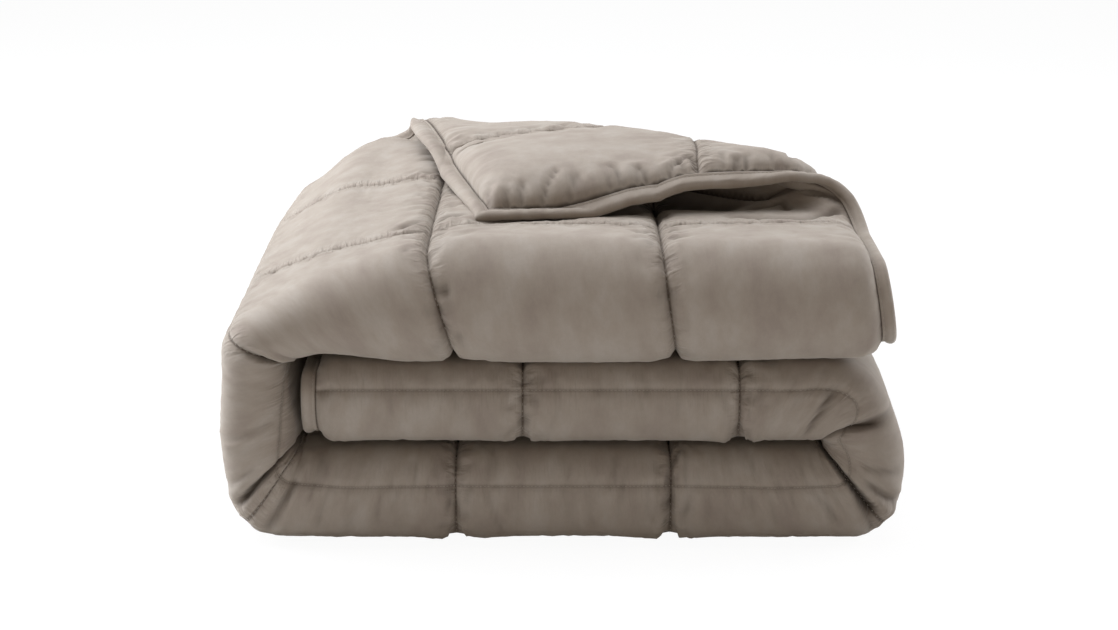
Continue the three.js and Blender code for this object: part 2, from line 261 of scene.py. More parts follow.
@dataclass(frozen=True)
class Crease:
    """A fold pressed into one face along a flat line, or a ridge where its depth is below 0."""

    # How many widths away it still matters, and over what share of its length each end fades.
    REACH = 3
    ENDS = 0.25

    face: Face
    # Seam number, and place across in millimetres, of each end.
    start: tuple[float, float]
    end: tuple[float, float]
    # In millimetres.
    width: float
    depth: float

    def beside(self, sizes: Sizes, along: Array, across: Array) -> Array:
        """Which flat places lie near enough for the crease to matter.

        Args:
            sizes: the duvet's sizes.
            along: flat places down the length.
            across: flat places over the width.

        Returns:
            A mask.
        """
        ends_a = np.array((self.start[0], self.end[0])) * sizes.box_long
        ends_b = np.array((self.start[1], self.end[1]))
        reach = self.REACH * self.width
        return (
            (along > ends_a.min() - reach) & (along < ends_a.max() + reach)
            & (across > ends_b.min() - reach) & (across < ends_b.max() + reach)
        )

    def depth_at(self, sizes: Sizes, along: Array, across: Array) -> Array:
        """How deep the crease is at flat places.

        Args:
            sizes: the duvet's sizes.
            along: flat places down the length.
            across: flat places over the width.

        Returns:
            The depth, below 0 for a ridge.
        """
        a0, a1 = self.start[0] * sizes.box_long, self.end[0] * sizes.box_long
        b0, b1 = self.start[1], self.end[1]
        length = math.hypot(a1 - a0, b1 - b0)
        run = ((along - a0) * (a1 - a0) + (across - b0) * (b1 - b0)) / length**2
        near = np.clip(run, 0, 1)
        away = np.hypot(along - a0 - near * (a1 - a0), across - b0 - near * (b1 - b0))
        to_end = 0.5 - np.abs(near - 0.5)
        return self.depth * np.exp(-((away / self.width) ** 2)) * smoothstep(to_end, 0, self.ENDS)


# Every crease below also darkens the cloth's colour by its depth, as painted shade.
CREASES = (
    # The mitres where the stack's front fold turns a corner.
    Crease(Face.OUT, (6.08, -190.0), (6.15, 0.0), 5.5, 16.0),
    Crease(Face.OUT, (6.15, -40.0), (6.07, 52.0), 4.0, 14.0),
    Crease(Face.OUT, (2.98, -190.0), (3.0, -10.0), 5.5, 16.0),
    Crease(Face.OUT, (2.99, -40.0), (3.0, 40.0), 4.0, 14.0),
    # The pinch over the right-hand one, and the tuck over the left-hand panel with its ridge.
    Crease(Face.OUT, (2.67, -120.0), (2.6, 40.0), 3.6, 15.0),
    Crease(Face.OUT, (2.64, -8.0), (2.6, 40.0), 2.6, 6.0),
    Crease(Face.OUT, (7.02, -70.0), (7.0, 70.0), 5.0, 10.0),
    Crease(Face.OUT, (7.08, -10.0), (7.12, 62.0), 6.0, -4.0),
    Crease(Face.OUT, (7.16, 0.0), (7.1, 66.0), 5.0, 6.0),
    # Wrinkles beside them.
    Crease(Face.OUT, (5.89, -8.0), (5.93, 46.0), 4.0, 6.0),
    Crease(Face.OUT, (5.86, -4.0), (5.9, 42.0), 5.0, -2.5),
    Crease(Face.OUT, (6.44, 50.0), (6.48, 0.0), 5.0, 3.0),
    Crease(Face.OUT, (6.4, 50.0), (6.44, 4.0), 6.0, -2.0),
    Crease(Face.OUT, (6.14, 60.0), (6.23, 14.0), 5.0, 3.0),
    Crease(Face.OUT, (2.37, 8.0), (2.46, -40.0), 4.0, 7.0),
    Crease(Face.OUT, (2.33, 4.0), (2.43, -42.0), 6.0, -2.5),
    Crease(Face.OUT, (2.86, 4.0), (2.81, 48.0), 4.0, 4.0),
    Crease(Face.OUT, (2.92, 8.0), (2.94, 56.0), 3.5, 6.0),
    Crease(Face.OUT, (3.02, 8.0), (3.04, 50.0), 3.5, 5.0),
    # Folds in the hollow under the turned-back corner; the wide last one also paints the hollow's
    # shade into the colour.
    Crease(Face.OUT, (9.12, 436.0), (9.64, 341.0), 8.0, 10.0),
    Crease(Face.OUT, (9.48, 357.0), (9.94, 350.0), 6.0, 9.0),
    Crease(Face.OUT, (9.42, 298.0), (9.67, 342.0), 5.0, 5.0),
    Crease(Face.OUT, (9.67, 348.0), (9.62, 288.0), 5.0, 5.0),
    Crease(Face.OUT, (9.88, 356.0), (9.95, 290.0), 5.0, 7.0),
    Crease(Face.OUT, (8.86, 372.0), (9.5, 326.0), 30.0, 10.0),
    # Where the hem of the turned-back corner presses on the leaf: shallow dents, whose depth also
    # paints the hem's shadow on the leaf into the colour.
    Crease(Face.OUT, (8.14, 246.0), (8.62, 270.0), 15.0, 6.0),
    Crease(Face.OUT, (8.42, 258.0), (9.02, 322.0), 17.0, 7.0),
    Crease(Face.OUT, (9.28, 266.0), (9.78, 248.0), 6.0, 5.0),
    Crease(Face.OUT, (9.68, 248.0), (9.96, 296.0), 6.0, 6.0),
)


@dataclass(frozen=True)
class Tucks:
    """Short tucks that run off a seam where stitching has drawn the cloth up, in millimetres."""

    # How far they lean off the square, how far they cross the seam, and how their spacing varies.
    LEAN = 0.35
    OVERLAP = 4.0
    SPACING = (0.4, 1.6)

    face: Face
    # Seam number and place across of each end of the stretch of seam.
    start: tuple[float, float]
    end: tuple[float, float]
    # The usual spacing, then the least and the most of each tuck's sizes.
    every: float = 15.0
    reach: tuple[float, float] = (14.0, 36.0)
    depth: tuple[float, float] = (0.8, 2.6)
    width: tuple[float, float] = (2.8, 4.6)
    seed: int = 3

    def creases(self, sizes: Sizes) -> list[Crease]:
        """The tucks, first to one side of the seam and then to the other.

        Args:
            sizes: the duvet's sizes.

        Returns:
            Their creases.
        """
        rng = np.random.default_rng(self.seed)
        start = np.array((self.start[0] * sizes.box_long, self.start[1]))
        run = np.array((self.end[0] * sizes.box_long, self.end[1])) - start
        length = float(np.hypot(*run))
        ahead, made = run / length, []
        for side in (-1, 1):
            off = np.array((-ahead[1], ahead[0])) * side
            at = rng.uniform(0, self.every)
            while at < length:
                way = off + ahead * rng.normal(0, self.LEAN)
                low = start + ahead * at - way * self.OVERLAP
                high = low + way * rng.uniform(*self.reach)
                ends = ((point[0] / sizes.box_long, point[1]) for point in (low, high))
                width, depth = rng.uniform(*self.width), rng.uniform(*self.depth)
                made.append(Crease(self.face, *ends, width, depth))
                at += self.every * rng.uniform(*self.SPACING)
        return made


TUCKS = (
    Tucks(Face.OUT, (3.1, 0.0), (5.95, 0.0), 17.0, (16.0, 40.0), (0.8, 2.8), seed=3),
    Tucks(Face.OUT, (0.3, 0.0), (2.4, 0.0), 26.0, (12.0, 26.0), (0.8, 2.2), seed=4),
    Tucks(Face.OUT, (8.0, 20.0), (8.0, 620.0), 11.0, (14.0, 44.0), (1.4, 4.2), seed=5),
    Tucks(Face.OUT, (9.0, 20.0), (9.0, 400.0), 12.0, (14.0, 40.0), (1.2, 3.8), seed=6),
    Tucks(Face.OUT, (7.1, 233.3), (8.3, 233.3), 18.0, (12.0, 30.0), (0.5, 1.6), seed=7),
    Tucks(Face.OUT, (7.1, 466.7), (8.0, 466.7), 18.0, (12.0, 30.0), (0.5, 1.6), seed=8),
    Tucks(Face.OUT, (1.0, -60.0), (1.0, 90.0), 12.0, (12.0, 30.0), (1.2, 3.6), seed=9),
    Tucks(Face.OUT, (2.0, -60.0), (2.0, 90.0), 12.0, (12.0, 30.0), (1.2, 3.6), seed=10),
    Tucks(Face.OUT, (4.0, -90.0), (4.0, 60.0), 12.0, (12.0, 30.0), (1.2, 3.6), seed=11),
    Tucks(Face.OUT, (5.0, -90.0), (5.0, 60.0), 12.0, (12.0, 30.0), (1.2, 3.6), seed=12),
    Tucks(
        Face.INSIDE, (9.94, 240.0), (9.94, 690.0), 20.0, (18.0, 42.0), (2.6, 6.4), (2.4, 3.6),
        seed=13,
    ),
    Tucks(Face.INSIDE, (9.0, 430.0), (9.0, 690.0), 13.0, (14.0, 36.0), (1.2, 3.4), seed=14),
    Tucks(Face.INSIDE, (8.2, 466.7), (9.9, 466.7), 20.0, (14.0, 34.0), (0.8, 2.4), seed=15),
)


@dataclass
class TurnedCorner:
    """The corner turned back over the top: its roll and how it settles, in millimetres."""

    # The roll starts on a line this far from the duvet's corner, and goes towards the corner at
    # this angle to the length.
    reach: float = 351.5
    angle: float = math.radians(48.5)
    # Its radius, and the tighter one that it comes to over this run towards its back end.
    radius: float = 33.5
    tight_radius: float = 13.0
    tight_run: tuple[float, float] = (-60.0, 440.0)
    # What its widest end leaves of the quilt's thickness, and how far off the filling is full.
    press: float = 0.7
    fade: float = 260.0
    # Past the roll the corner comes down on the leaf over this length, to this gap from it. This
    # share of what it rests on is the leaf's plain crowns, without their seams.
    settle: float = 215.0
    rest_gap: float = 2.0
    rest_soft: float = 0.25
    # How far its hem hangs, or is held up where less than 0, at places across the duvet, and how
    # far in from the hem that starts.
    droop: tuple[tuple[float, float], ...] = (
        (300.0, 0.0), (330.0, 6.0), (360.0, 12.0), (400.0, 9.0), (440.0, 1.0),
        (480.0, -6.0), (540.0, -7.0), (600.0, 0.0), (650.0, 5.0), (700.0, 6.0),
    )
    droop_reach: float = 50.0
    # How far its tape hangs beyond that, from this many tape widths in.
    tape_hang: float = 9.0
    tape_reach: float = 1.3
    # How far its hem bows forward at places across the duvet, and how far in that starts.
    bow: tuple[tuple[float, float], ...] = (
        (420.0, 0.0), (470.0, 4.0), (530.0, 10.0), (590.0, 14.0), (650.0, 8.0), (700.0, 0.0)
    )
    bow_reach: float = 160.0
    # Its seams are drawn in, one towards the tip and one away: where, how far and over what reach.
    drawn: tuple[float, float, float] = (445.0, 18.0, 110.0)
    drawn_back: tuple[float, float, float] = (1985.0, 44.0, 140.0)
    # It lies twisted about its tip, fully so this far from the roll.
    twist: float = math.radians(3.0)
    twist_reach: float = 170.0

    @property
    def out(self) -> tuple[float, float]:
        """The flat direction, along and across, in which the roll goes."""
        return math.cos(self.angle), math.sin(self.angle)

    def past(self, sizes: Sizes, along: Array, across: Array) -> Array:
        """How far flat places lie past the line where the roll starts.

        Args:
            sizes: the duvet's sizes.
            along: flat places down the length.
            across: flat places over the width.

        Returns:
            The distance, below 0 before the line.
        """
        to_corner = (sizes.length - along) * self.out[0] + (sizes.half_width - across) * self.out[1]
        return self.reach - to_corner

    def radius_at(self, sizes: Sizes, along: Array, across: Array) -> Array:
        """The roll's radius beside flat places.

        Args:
            sizes: the duvet's sizes.
            along: flat places down the length.
            across: flat places over the width.

        Returns:
            The radius, tighter at the back end.
        """
        run = (sizes.length - along) * self.out[1] - (sizes.half_width - across) * self.out[0]
        from_back = self.reach * math.tan(self.angle) - run
        share = smoothstep(from_back, *self.tight_run)
        return self.tight_radius + (self.radius - self.tight_radius) * share


class FoldPlan:
    """Carries the flat duvet to the folded stack."""

    # The table of stretches is read this closely, and smoothed this widely, in boxes.
    TABLE_STEP = 0.02
    TABLE_BLUR = 0.05
    BLUR_REACH, BLUR_TAPS = 2, 9
    # How squarely a box fills out towards its seams.
    EDGE_POWER, EDGE_ROUND = 3.0, 0.6
    # The cloth is pulled tight round the front fold, which flattens it there.
    FOLD_PRESS, FOLD_REACH = 0.22, 60.0
    # The front fold turns round no more than this half gap between the sheets.
    MOST_TURN = 30.0
    # Half the quilt's thickness where it rests, pressed flat at a seam and on its tape.
    PRESSED_HALF, TAPE_HALF = 2.5, 4.45
    # How far off either side of a place its normal is measured.
    NORMAL_STEP = 1.5

    def __init__(self, sizes: Sizes, corner: TurnedCorner) -> None:
        """Reads the tables.

        Args:
            sizes: the duvet's sizes.
            corner: the turned-back corner.
        """
        self.sizes = sizes
        self.corner = corner
        self.outer = SheetPath(OUTER_PATH)
        self.inner = SheetPath(INNER_PATH)
        rows = np.array(STRETCHES, float)
        self.boxes = np.arange(0, sizes.boxes_along + self.TABLE_STEP, self.TABLE_STEP)
        taps = np.linspace(-self.BLUR_REACH, self.BLUR_REACH, self.BLUR_TAPS)
        weights = np.exp(-0.5 * taps**2)
        weights /= weights.sum()
        self.columns = {
            name: sum(
                w * np.interp(self.boxes + t * self.TABLE_BLUR, rows[:, 0], rows[:, i])
                for t, w in zip(taps, weights)
            )
            for i, name in enumerate(STRETCH_COLUMNS)
        }

    def stretch(self, along: Array, column: str) -> Array:
        """A column of the table of stretches at flat places."""
        return np.interp(along / self.sizes.box_long, self.boxes, self.columns[column])

    def fullness(self, at: Array, size: float, total: float) -> Array:
        """How full one direction of a box is.

        Args:
            at: flat places in that direction.
            size: the size of a box.
            total: the duvet's size.

        Returns:
            0 at a seam and 1 in the middle.
        """
        low, high = self.sizes.box_span(at, size, total)
        share = np.clip((at - low) / (high - low), 0, 1)
        return (1 - np.abs(2 * share - 1) ** self.EDGE_POWER) ** self.EDGE_ROUND

    def filling(self, along: Array, across: Array) -> Array:
        """How full the quilt is at flat places, 0 at a seam and 1 at a crown."""
        s = self.sizes
        return self.fullness(along, s.box_long, s.length) * self.fullness(
            across + s.half_width, s.box_wide, s.width
        )

    def sunk(self, along: Array, across: Array, sheet: str) -> Array:
        """How far a sheet's seams sink towards what it rests on.

        Args:
            along: flat places down the length.
            across: flat places over the width.
            sheet: "outer" or "inner".

        Returns:
            The depth in millimetres.
        """
        side = np.maximum(across, 1) if sheet == "outer" else np.minimum(across, -1)
        sag, crown = self.stretch(along, f"{sheet}_sag"), self.stretch(along, sheet)
        return sag * (1 - self.filling(along, side)) * (crown - self.PRESSED_HALF)

    def layered(self, along: Array, across: Array) -> Array:
        """Flat places in the folded stack, before its corner is turned back.

        Args:
            along: flat places down the length.
            across: flat places over the width.

        Returns:
            Points in millimetres.
        """
        box = along / self.sizes.box_long
        (ox, oz), (ix, iz) = self.outer.at(box), self.inner.at(box)
        bend = self.stretch(along, "round")
        apart = np.hypot(ox - ix, oz - iz)
        # The front fold is a quarter of an ellipse to either side of its seam.
        turn = np.minimum(apart / 2, self.MOST_TURN)
        quarter = (math.pi / 2) * np.sqrt((bend**2 + turn**2) / 2)
        roll = self.stretch(along, "roll") * (1 - np.maximum(-across / self.sizes.half_width, 0))
        start = across - roll
        angle = np.clip(start / quarter * (math.pi / 2), -math.pi / 2, math.pi / 2)
        lean = np.sin(angle)
        sinks = [self.sunk(along, across, sheet) for sheet in ("outer", "inner")]
        sink = np.where(lean > 0, *sinks)
        share = (1 + lean) / 2 + lean * sink / apart
        past = np.maximum(np.abs(start) - quarter, 0)
        rise = np.zeros_like(share)
        for at_box, at_across, box_reach, across_reach, height in RISES:
            along_away = np.abs((box - at_box) / box_reach) ** 3
            across_away = ((across - at_across) / across_reach) ** 2
            rise += height * np.exp(-(along_away + across_away))
        return np.stack(
            (
                ix + (ox - ix) * share,
                self.stretch(along, "front") + bend * (1 - np.cos(angle)) + past,
                iz + (oz - iz) * share + rise,
            ),
            axis=-1,
        )

    def crown(self, along: Array, across: Array, face: Face) -> Array:
        """Half the quilt's thickness on one face where a box is fullest.

        Args:
            along: flat places down the length.
            across: flat places over the width.
            face: the face.

        Returns:
            The thickness in millimetres.
        """
        if face is Face.INSIDE:
            crown = self.stretch(along, "inside")
        else:
            crown = np.where(across > 0, self.stretch(along, "outer"), self.stretch(along, "inner"))
        corner = self.corner
        past = corner.past(self.sizes, along, across)
        radius = corner.radius_at(self.sizes, along, across)
        apart = np.where(across > 0, np.maximum(-past, past - math.pi * radius), corner.fade)
        press = corner.press * radius / corner.radius
        pressed = press + (1 - press) * np.clip(apart / corner.fade, 0, 1)
        if face is Face.OUT:
            pressed = pressed * (1 - self.FOLD_PRESS * np.exp(-((across / self.FOLD_REACH) ** 2)))
        return crown * pressed

    def half(self, along: Array, across: Array) -> Array:
        """Half the quilt's plain thickness on its outer face, by which it rests."""
        crown, thin = self.crown(along, across, Face.OUT), self.PRESSED_HALF
        return thin + (crown - thin) * self.filling(along, across)

    def folded(self, along: Array, across: Array) -> Array:
        """Flat places in the folded stack, with the corner turned back.

        Args:
            along: flat places down the length.
            across: flat places over the width.

        Returns:
            Points of the quilt's middle surface in millimetres.
        """
        points = self.layered(along, across)
        past = self.corner.past(self.sizes, along, across)
        turned = (past > 0) & (across > 0)
        if turned.any():
            points[turned] = self.turned(along[turned], across[turned], past[turned])
        return points

    def turned(self, along: Array, across: Array, past: Array) -> Array:
        """Flat places of the turned-back corner in the folded stack.

        Args:
            along: flat places down the length.
            across: flat places over the width.
            past: how far they lie past the start of the roll.

        Returns:
            Points in millimetres.
        """
        corner, edge = self.corner, self.sizes.length
        radius = corner.radius_at(self.sizes, along, across)
        roll = math.pi * radius
        beyond = past - roll
        rolled = np.minimum(past, roll) / radius
        shift = radius * np.sin(rolled) - np.maximum(beyond, 0) - past
        a, b = along + shift * corner.out[0], across + shift * corner.out[1]
        centre, pull, spread = corner.drawn
        a -= pull * np.exp(-(((across - centre) / spread) ** 2)) * smoothstep(beyond, 0, spread)
        centre, pull, spread = corner.drawn_back
        b += pull * np.exp(-(((along - centre) / spread) ** 2)) * smoothstep(beyond, 0, spread)
        near_hem = smoothstep(along, edge - corner.bow_reach, edge)
        b -= np.interp(across, *np.transpose(corner.bow)) * near_hem
        carried = 2 * corner.reach - math.pi * corner.radius
        tip_a = edge - carried * corner.out[0]
        tip_b = self.sizes.half_width - carried * corner.out[1]
        turn = corner.twist * smoothstep(beyond, 0, corner.twist_reach)
        a, b = (
            tip_a + (a - tip_a) * np.cos(turn) - (b - tip_b) * np.sin(turn),
            tip_b + (a - tip_a) * np.sin(turn) + (b - tip_b) * np.cos(turn),
        )
        own = np.maximum(self.half(along, across), self.TAPE_HALF)
        soft = corner.rest_soft
        under = soft * self.stretch(a, "outer") + (1 - soft) * self.half(a, b)
        settled = smoothstep(beyond, 0, corner.settle)
        resting = corner.rest_gap + own + under
        height = radius * (1 - np.cos(rolled)) * (1 - settled) + resting * settled
        over = corner.droop_reach
        hung = smoothstep(along, edge - over, edge) * smoothstep(past, 0, over)
        hung *= np.interp(across, *np.transpose(corner.droop))
        on_tape = smoothstep(along, edge - corner.tape_reach * self.sizes.tape_width, edge)
        hung += corner.tape_hang * on_tape * smoothstep(beyond, 0, over)
        # What hangs stops where it would rest.
        height = np.maximum(height - hung, np.minimum(height, resting))
        return self.layered(a, b) + self.normals(self.layered, a, b) * height[:, None]

    @classmethod
    def normals(
        cls, surface: Callable[[Array, Array], Array], along: Array, across: Array
    ) -> Array:
        """Unit normals of a surface given over flat places, on the outer side.

        Args:
            surface: a function of flat places that returns points.
            along: flat places down the length.
            across: flat places over the width.

        Returns:
            The normals.
        """
        step = cls.NORMAL_STEP
        down = surface(along + step, across) - surface(along - step, across)
        over = surface(along, across + step) - surface(along, across - step)
        return unit(np.cross(down, over))


def colour(hex_code: str) -> tuple[float, float, float, float]:
    """An sRGB hex colour as linear RGBA.

    Args:
        hex_code: six hex digits, with or without a leading #.

    Returns:
        Linear red, green, blue and alpha.
    """
    shares = [int(hex_code.lstrip("#")[i : i + 2], 16) / 255 for i in (0, 2, 4)]
    linear = [c / 12.92 if c <= 0.04045 else ((c + 0.055) / 1.055) ** 2.4 for c in shares]
    return (*linear, 1.0)


def add_node(
    tree: bpy.types.NodeTree, kind: str, settings: dict | None = None, inputs: dict | None = None
) -> bpy.types.Node:
    """Adds a node with its settings, values and links.

    Args:
        tree: the node tree.
        kind: the node's type.
        settings: attributes to set on it.
        inputs: values or output sockets for its inputs, by name or number.

    Returns:
        The node.
    """
    node = tree.nodes.new(kind)
    for name, value in (settings or {}).items():
        setattr(node, name, value)
    for name, value in (inputs or {}).items():
        if isinstance(value, Socket):
            tree.links.new(value, node.inputs[name])
        else:
            node.inputs[name].default_value = value
    return node


def blank_material(name: str) -> bpy.types.Material:
    """A new material with an empty node tree.

    Args:
        name: its name.

    Returns:
        The material.
    """
    made = bpy.data.materials.new(name)
    made.use_nodes = True
    made.node_tree.nodes.clear()
    return made


def add_mesh(
    name: str,
    points: Array,
    faces: list[list[int]],
    finish: "BrushedMicrofibre | SewingThread",
    flat: Array | None = None,
    pressed: Array | None = None,
) -> bpy.types.Object:
    """Makes a smooth object from points in fold-plan millimetres.

    Args:
        name: the piece's name.
        points: its points.
        faces: lists of point numbers.
        finish: the finish that dresses it.
        flat: the flat place of each point in millimetres, for the cloth's own pattern.
        pressed: how deep in a crease each point lies, from 0 to 1, which its finish paints in as
            shade.

    Returns:
        The object.
    """
    mesh = bpy.data.meshes.new(name)
    mesh.from_pydata(((points + np.array(STACK_SHIFT)) * MM).tolist(), [], faces)
    mesh.polygons.foreach_set("use_smooth", np.ones(len(mesh.polygons), bool))
    if flat is not None:
        corners = np.empty(len(mesh.loops), np.int32)
        mesh.loops.foreach_get("vertex_index", corners)
        layer = mesh.uv_layers.new(name="cloth")
        layer.data.foreach_set("uv", (flat[corners] * MM).astype(np.float32).ravel())
    if pressed is not None:
        layer = mesh.attributes.new("pressed", "FLOAT", "POINT")
        layer.data.foreach_set("value", pressed.astype(np.float32))
    mesh.update()
    mesh.validate()
    piece = bpy.data.objects.new(name, mesh)
    bpy.context.scene.collection.objects.link(piece)
    mesh.materials.append(finish.build())
    return piece


@dataclass(frozen=True)
class SeamMarks:
    """What marks the seams of a quilted cloth, as sockets of its material."""

    # The drawn-in seam line, 1 in its middle: cut in as a groove, and darkened in the colour as
    # painted shade.
    line: Socket
    # The height of the fine puckers that run off it, 0 away from the seams.
    ripple: Socket
    # The line where the cloth goes under its binding, 1 in its middle: painted shade, darkened in
    # the colour.
    binding_shade_line: Socket


@dataclass(frozen=True)
class BrushedMicrofibre:
    """Woven polyester microfibre, brushed: matt and soft, with a pale bloom where it turns away."""

    # A wave texture of scale 1 has waves 0.31 m long, and each one holds two threads.
    WAVE_SCALE = 0.159

    name: str = "brushed_microfibre"
    base: str = "8f857a"
    shade: str = "877c72"
    light: str = "968d83"
    bloom: str = "d8d0c6"
    roughness: float = 0.86
    sheen: float = 0.35
    sheen_roughness: float = 0.45
    gloss: float = 0.25
    # A real thread is 0.15 mm: drawn as coarse as 1.1 mm, so that it just shows.
    thread_mm: float = 1.1
    thread_height_mm: float = 0.08
    # The brushed nap lies this way and that in patches, which shade the colour.
    nap_mm: float = 38.0
    nap_range: tuple[float, float] = (0.34, 0.66)
    # Its fluff specks the colour.
    fluff_mm: float = 2.4
    speck: tuple[float, float] = (0.965, 1.035)
    # Small soft creases from handling.
    crumple_mm: float = 16.0
    crumple_height_mm: float = 1.2
    # The size of a quilted box down and over the cloth, or none where it is not quilted.
    box_mm: tuple[float, float] | None = None
    # The cloth's middle, and how far off it its binding's inner edge lies, down and over it.
    middle_mm: tuple[float, float] = (0.0, 0.0)
    rim_mm: tuple[float, float] = (0.0, 0.0)
    # Painted shade beside the binding: full this near its inner edge, gone this far off it.
    binding_shade_mm: tuple[float, float] = (0.6, 3.2)
    # Painted shade: the seam lines are darkened towards the first colour, and the creases and the
    # line beside the binding towards the second, standing in for the shade deep in them.
    seam_painted_shade: str = "b5b0ab"
    crease_painted_shade: str = "7a736c"
    line_mm: float = 1.9
    groove_mm: float = 1.0
    # The seam on the front fold lies in stretched cloth: how little it shows, and over what reach.
    fold_line: float = 0.4
    fold_fade_mm: tuple[float, float] = (30.0, 60.0)
    # Fine puckers: their height, how far they run off the seam, how wide and how much longer.
    pucker_mm: float = 4.5
    pucker_reach_mm: float = 24.0
    pucker_wave_mm: float = 5.2
    pucker_stretch: float = 3.6

    def build(self) -> bpy.types.Material:
        """Makes the material, or returns it if it is made.

        Returns:
            The material.
        """
        made = bpy.data.materials.get(self.name)
        if made:
            return made
        made = blank_material(self.name)
        tree = made.node_tree
        cloth = add_node(tree, "ShaderNodeUVMap", {"uv_map": "cloth"}).outputs["UV"]
        seams = self.seam_marks(tree, cloth) if self.box_mm else None
        shader = add_node(
            tree, "ShaderNodeBsdfPrincipled", None,
            {
                "Base Color": self.colouring(tree, cloth, seams),
                "Normal": self.relief(tree, cloth, seams),
                "Roughness": self.roughness,
                "Specular IOR Level": self.gloss,
                "Sheen Weight": self.sheen,
                "Sheen Roughness": self.sheen_roughness,
                "Sheen Tint": colour(self.bloom),
            },
        )
        add_node(tree, "ShaderNodeOutputMaterial", None, {"Surface": shader.outputs["BSDF"]})
        return made

    def colouring(self, tree: bpy.types.NodeTree, cloth: Socket, seams: SeamMarks | None) -> Socket:
        """The cloth's colour: nap in soft patches, specks of fluff, and painted shade along its
        seams, in its creases and beside its binding.

        Args:
            tree: the material's node tree.
            cloth: the flat place on the cloth, in metres.
            seams: the marks of its seams, or none where it is not quilted.

        Returns:
            The colour.
        """
        nap = add_node(
            tree, "ShaderNodeTexNoise", None,
            {"Vector": cloth, "Scale": 1 / (self.nap_mm * MM), "Detail": 3.0, "Roughness": 0.6},
        )
        tones = add_node(tree, "ShaderNodeValToRGB", None, {"Fac": nap.outputs["Fac"]})
        ramp = tones.color_ramp
        for element, at, tone in zip(ramp.elements, self.nap_range, (self.shade, self.light)):
            element.position, element.color = at, colour(tone)
        ramp.elements.new(sum(self.nap_range) / 2).color = colour(self.base)
        fluff = add_node(
            tree, "ShaderNodeTexNoise", None,
            {"Vector": cloth, "Scale": 1 / (self.fluff_mm * MM), "Detail": 4.0, "Roughness": 0.7},
        )
        speck = add_node(
            tree, "ShaderNodeMapRange", None,
            {
                "Value": fluff.outputs["Fac"], "From Min": 0.3, "From Max": 0.7,
                "To Min": self.speck[0], "To Max": self.speck[1],
            },
        )
        layers: list[tuple[Socket | float, Socket | tuple]] = [(1.0, speck.outputs["Result"])]
        if seams:
            # Painted shade: the stitched line, the creases and the line beside the binding are
            # darkened in the colour, standing in for the shade deep in them, where little light
            # comes.
            depth = add_node(tree, "ShaderNodeAttribute", {"attribute_name": "pressed"})
            pressed = add_node(
                tree, "ShaderNodeMath", {"operation": "MAXIMUM"},
                {0: depth.outputs["Fac"], 1: seams.binding_shade_line},
            )
            layers.append((seams.line, colour(self.seam_painted_shade)))
            layers.append((pressed.outputs["Value"], colour(self.crease_painted_shade)))
        worn = tones.outputs["Color"]
        for share, shade in layers:
            worn = add_node(
                tree, "ShaderNodeMix", {"data_type": "RGBA", "blend_type": "MULTIPLY"},
                {0: share, 6: worn, 7: shade},
            ).outputs[2]
        return worn

    def relief(self, tree: bpy.types.NodeTree, cloth: Socket, seams: SeamMarks | None) -> Socket:
        """The cloth's fine relief: its weave, small creases, and puckers and grooves at its seams.

        Args:
            tree: the material's node tree.
            cloth: the flat place on the cloth, in metres.
            seams: the marks of its seams, or none where it is not quilted.

        Returns:
            The normal.
        """
        # Warp and weft cross at right angles, in line with the duvet's sides.
        waves = [
            add_node(
                tree, "ShaderNodeTexWave", {"wave_type": "BANDS", "bands_direction": way},
                {
                    "Vector": cloth, "Scale": self.WAVE_SCALE / (self.thread_mm * MM),
                    "Distortion": 0.6, "Detail": 1.0, "Detail Scale": 2.0,
                },
            ).outputs["Fac"]
            for way in ("X", "Y")
        ]
        weave = add_node(
            tree, "ShaderNodeMath", {"operation": "MULTIPLY"}, dict(enumerate(waves))
        )
        crumple = add_node(
            tree, "ShaderNodeTexNoise", None,
            {
                "Vector": cloth, "Scale": 1 / (self.crumple_mm * MM),
                "Detail": 3.0, "Roughness": 0.5, "Distortion": 0.6,
            },
        )
        # Each layer's height, its strength, how deep it is, and whether it is cut in.
        layers = [
            (weave.outputs["Value"], 0.25, self.thread_height_mm, False),
            (crumple.outputs["Fac"], 0.35, self.crumple_height_mm, False),
        ]
        if seams:
            layers.append((seams.ripple, 1.0, self.pucker_mm, False))
            layers.append((seams.line, 1.0, self.groove_mm, True))
        below: dict[str, Socket] = {}
        for height, strength, deep, cut_in in layers:
            bump = add_node(
                tree, "ShaderNodeBump", {"invert": cut_in},
                {"Height": height, "Strength": strength, "Distance": deep * MM, **below},
            )
            below = {"Normal": bump.outputs["Normal"]}
        return below["Normal"]

    def seam_marks(self, tree: bpy.types.NodeTree, cloth: Socket) -> SeamMarks:
        """The marks along the seams that are too small for the mesh: grooves, puckers and lines of
        painted shade.

        Args:
            tree: the material's node tree.
            cloth: the flat place on the cloth, in metres.

        Returns:
            The marks.
        """
        parts = add_node(tree, "ShaderNodeSeparateXYZ", None, {0: cloth}).outputs
        from_fold = add_node(tree, "ShaderNodeMath", {"operation": "ABSOLUTE"}, {0: parts["Y"]})
        near, far = self.fold_fade_mm
        strength = add_node(
            tree, "ShaderNodeMapRange", None,
            {
                "Value": from_fold.outputs["Value"], "From Min": near * MM, "From Max": far * MM,
                "To Min": self.fold_line, "To Max": 1.0,
            },
        ).outputs["Result"]
        down = self.marks_one_way(tree, cloth, parts["X"], 0, 1.0)
        over = self.marks_one_way(tree, cloth, parts["Y"], 1, strength)
        return SeamMarks(*(
            add_node(
                tree, "ShaderNodeMath", {"operation": joined}, {0: one, 1: other}
            ).outputs["Value"]
            for joined, one, other in zip(("MAXIMUM", "ADD", "MAXIMUM"), down, over)
        ))

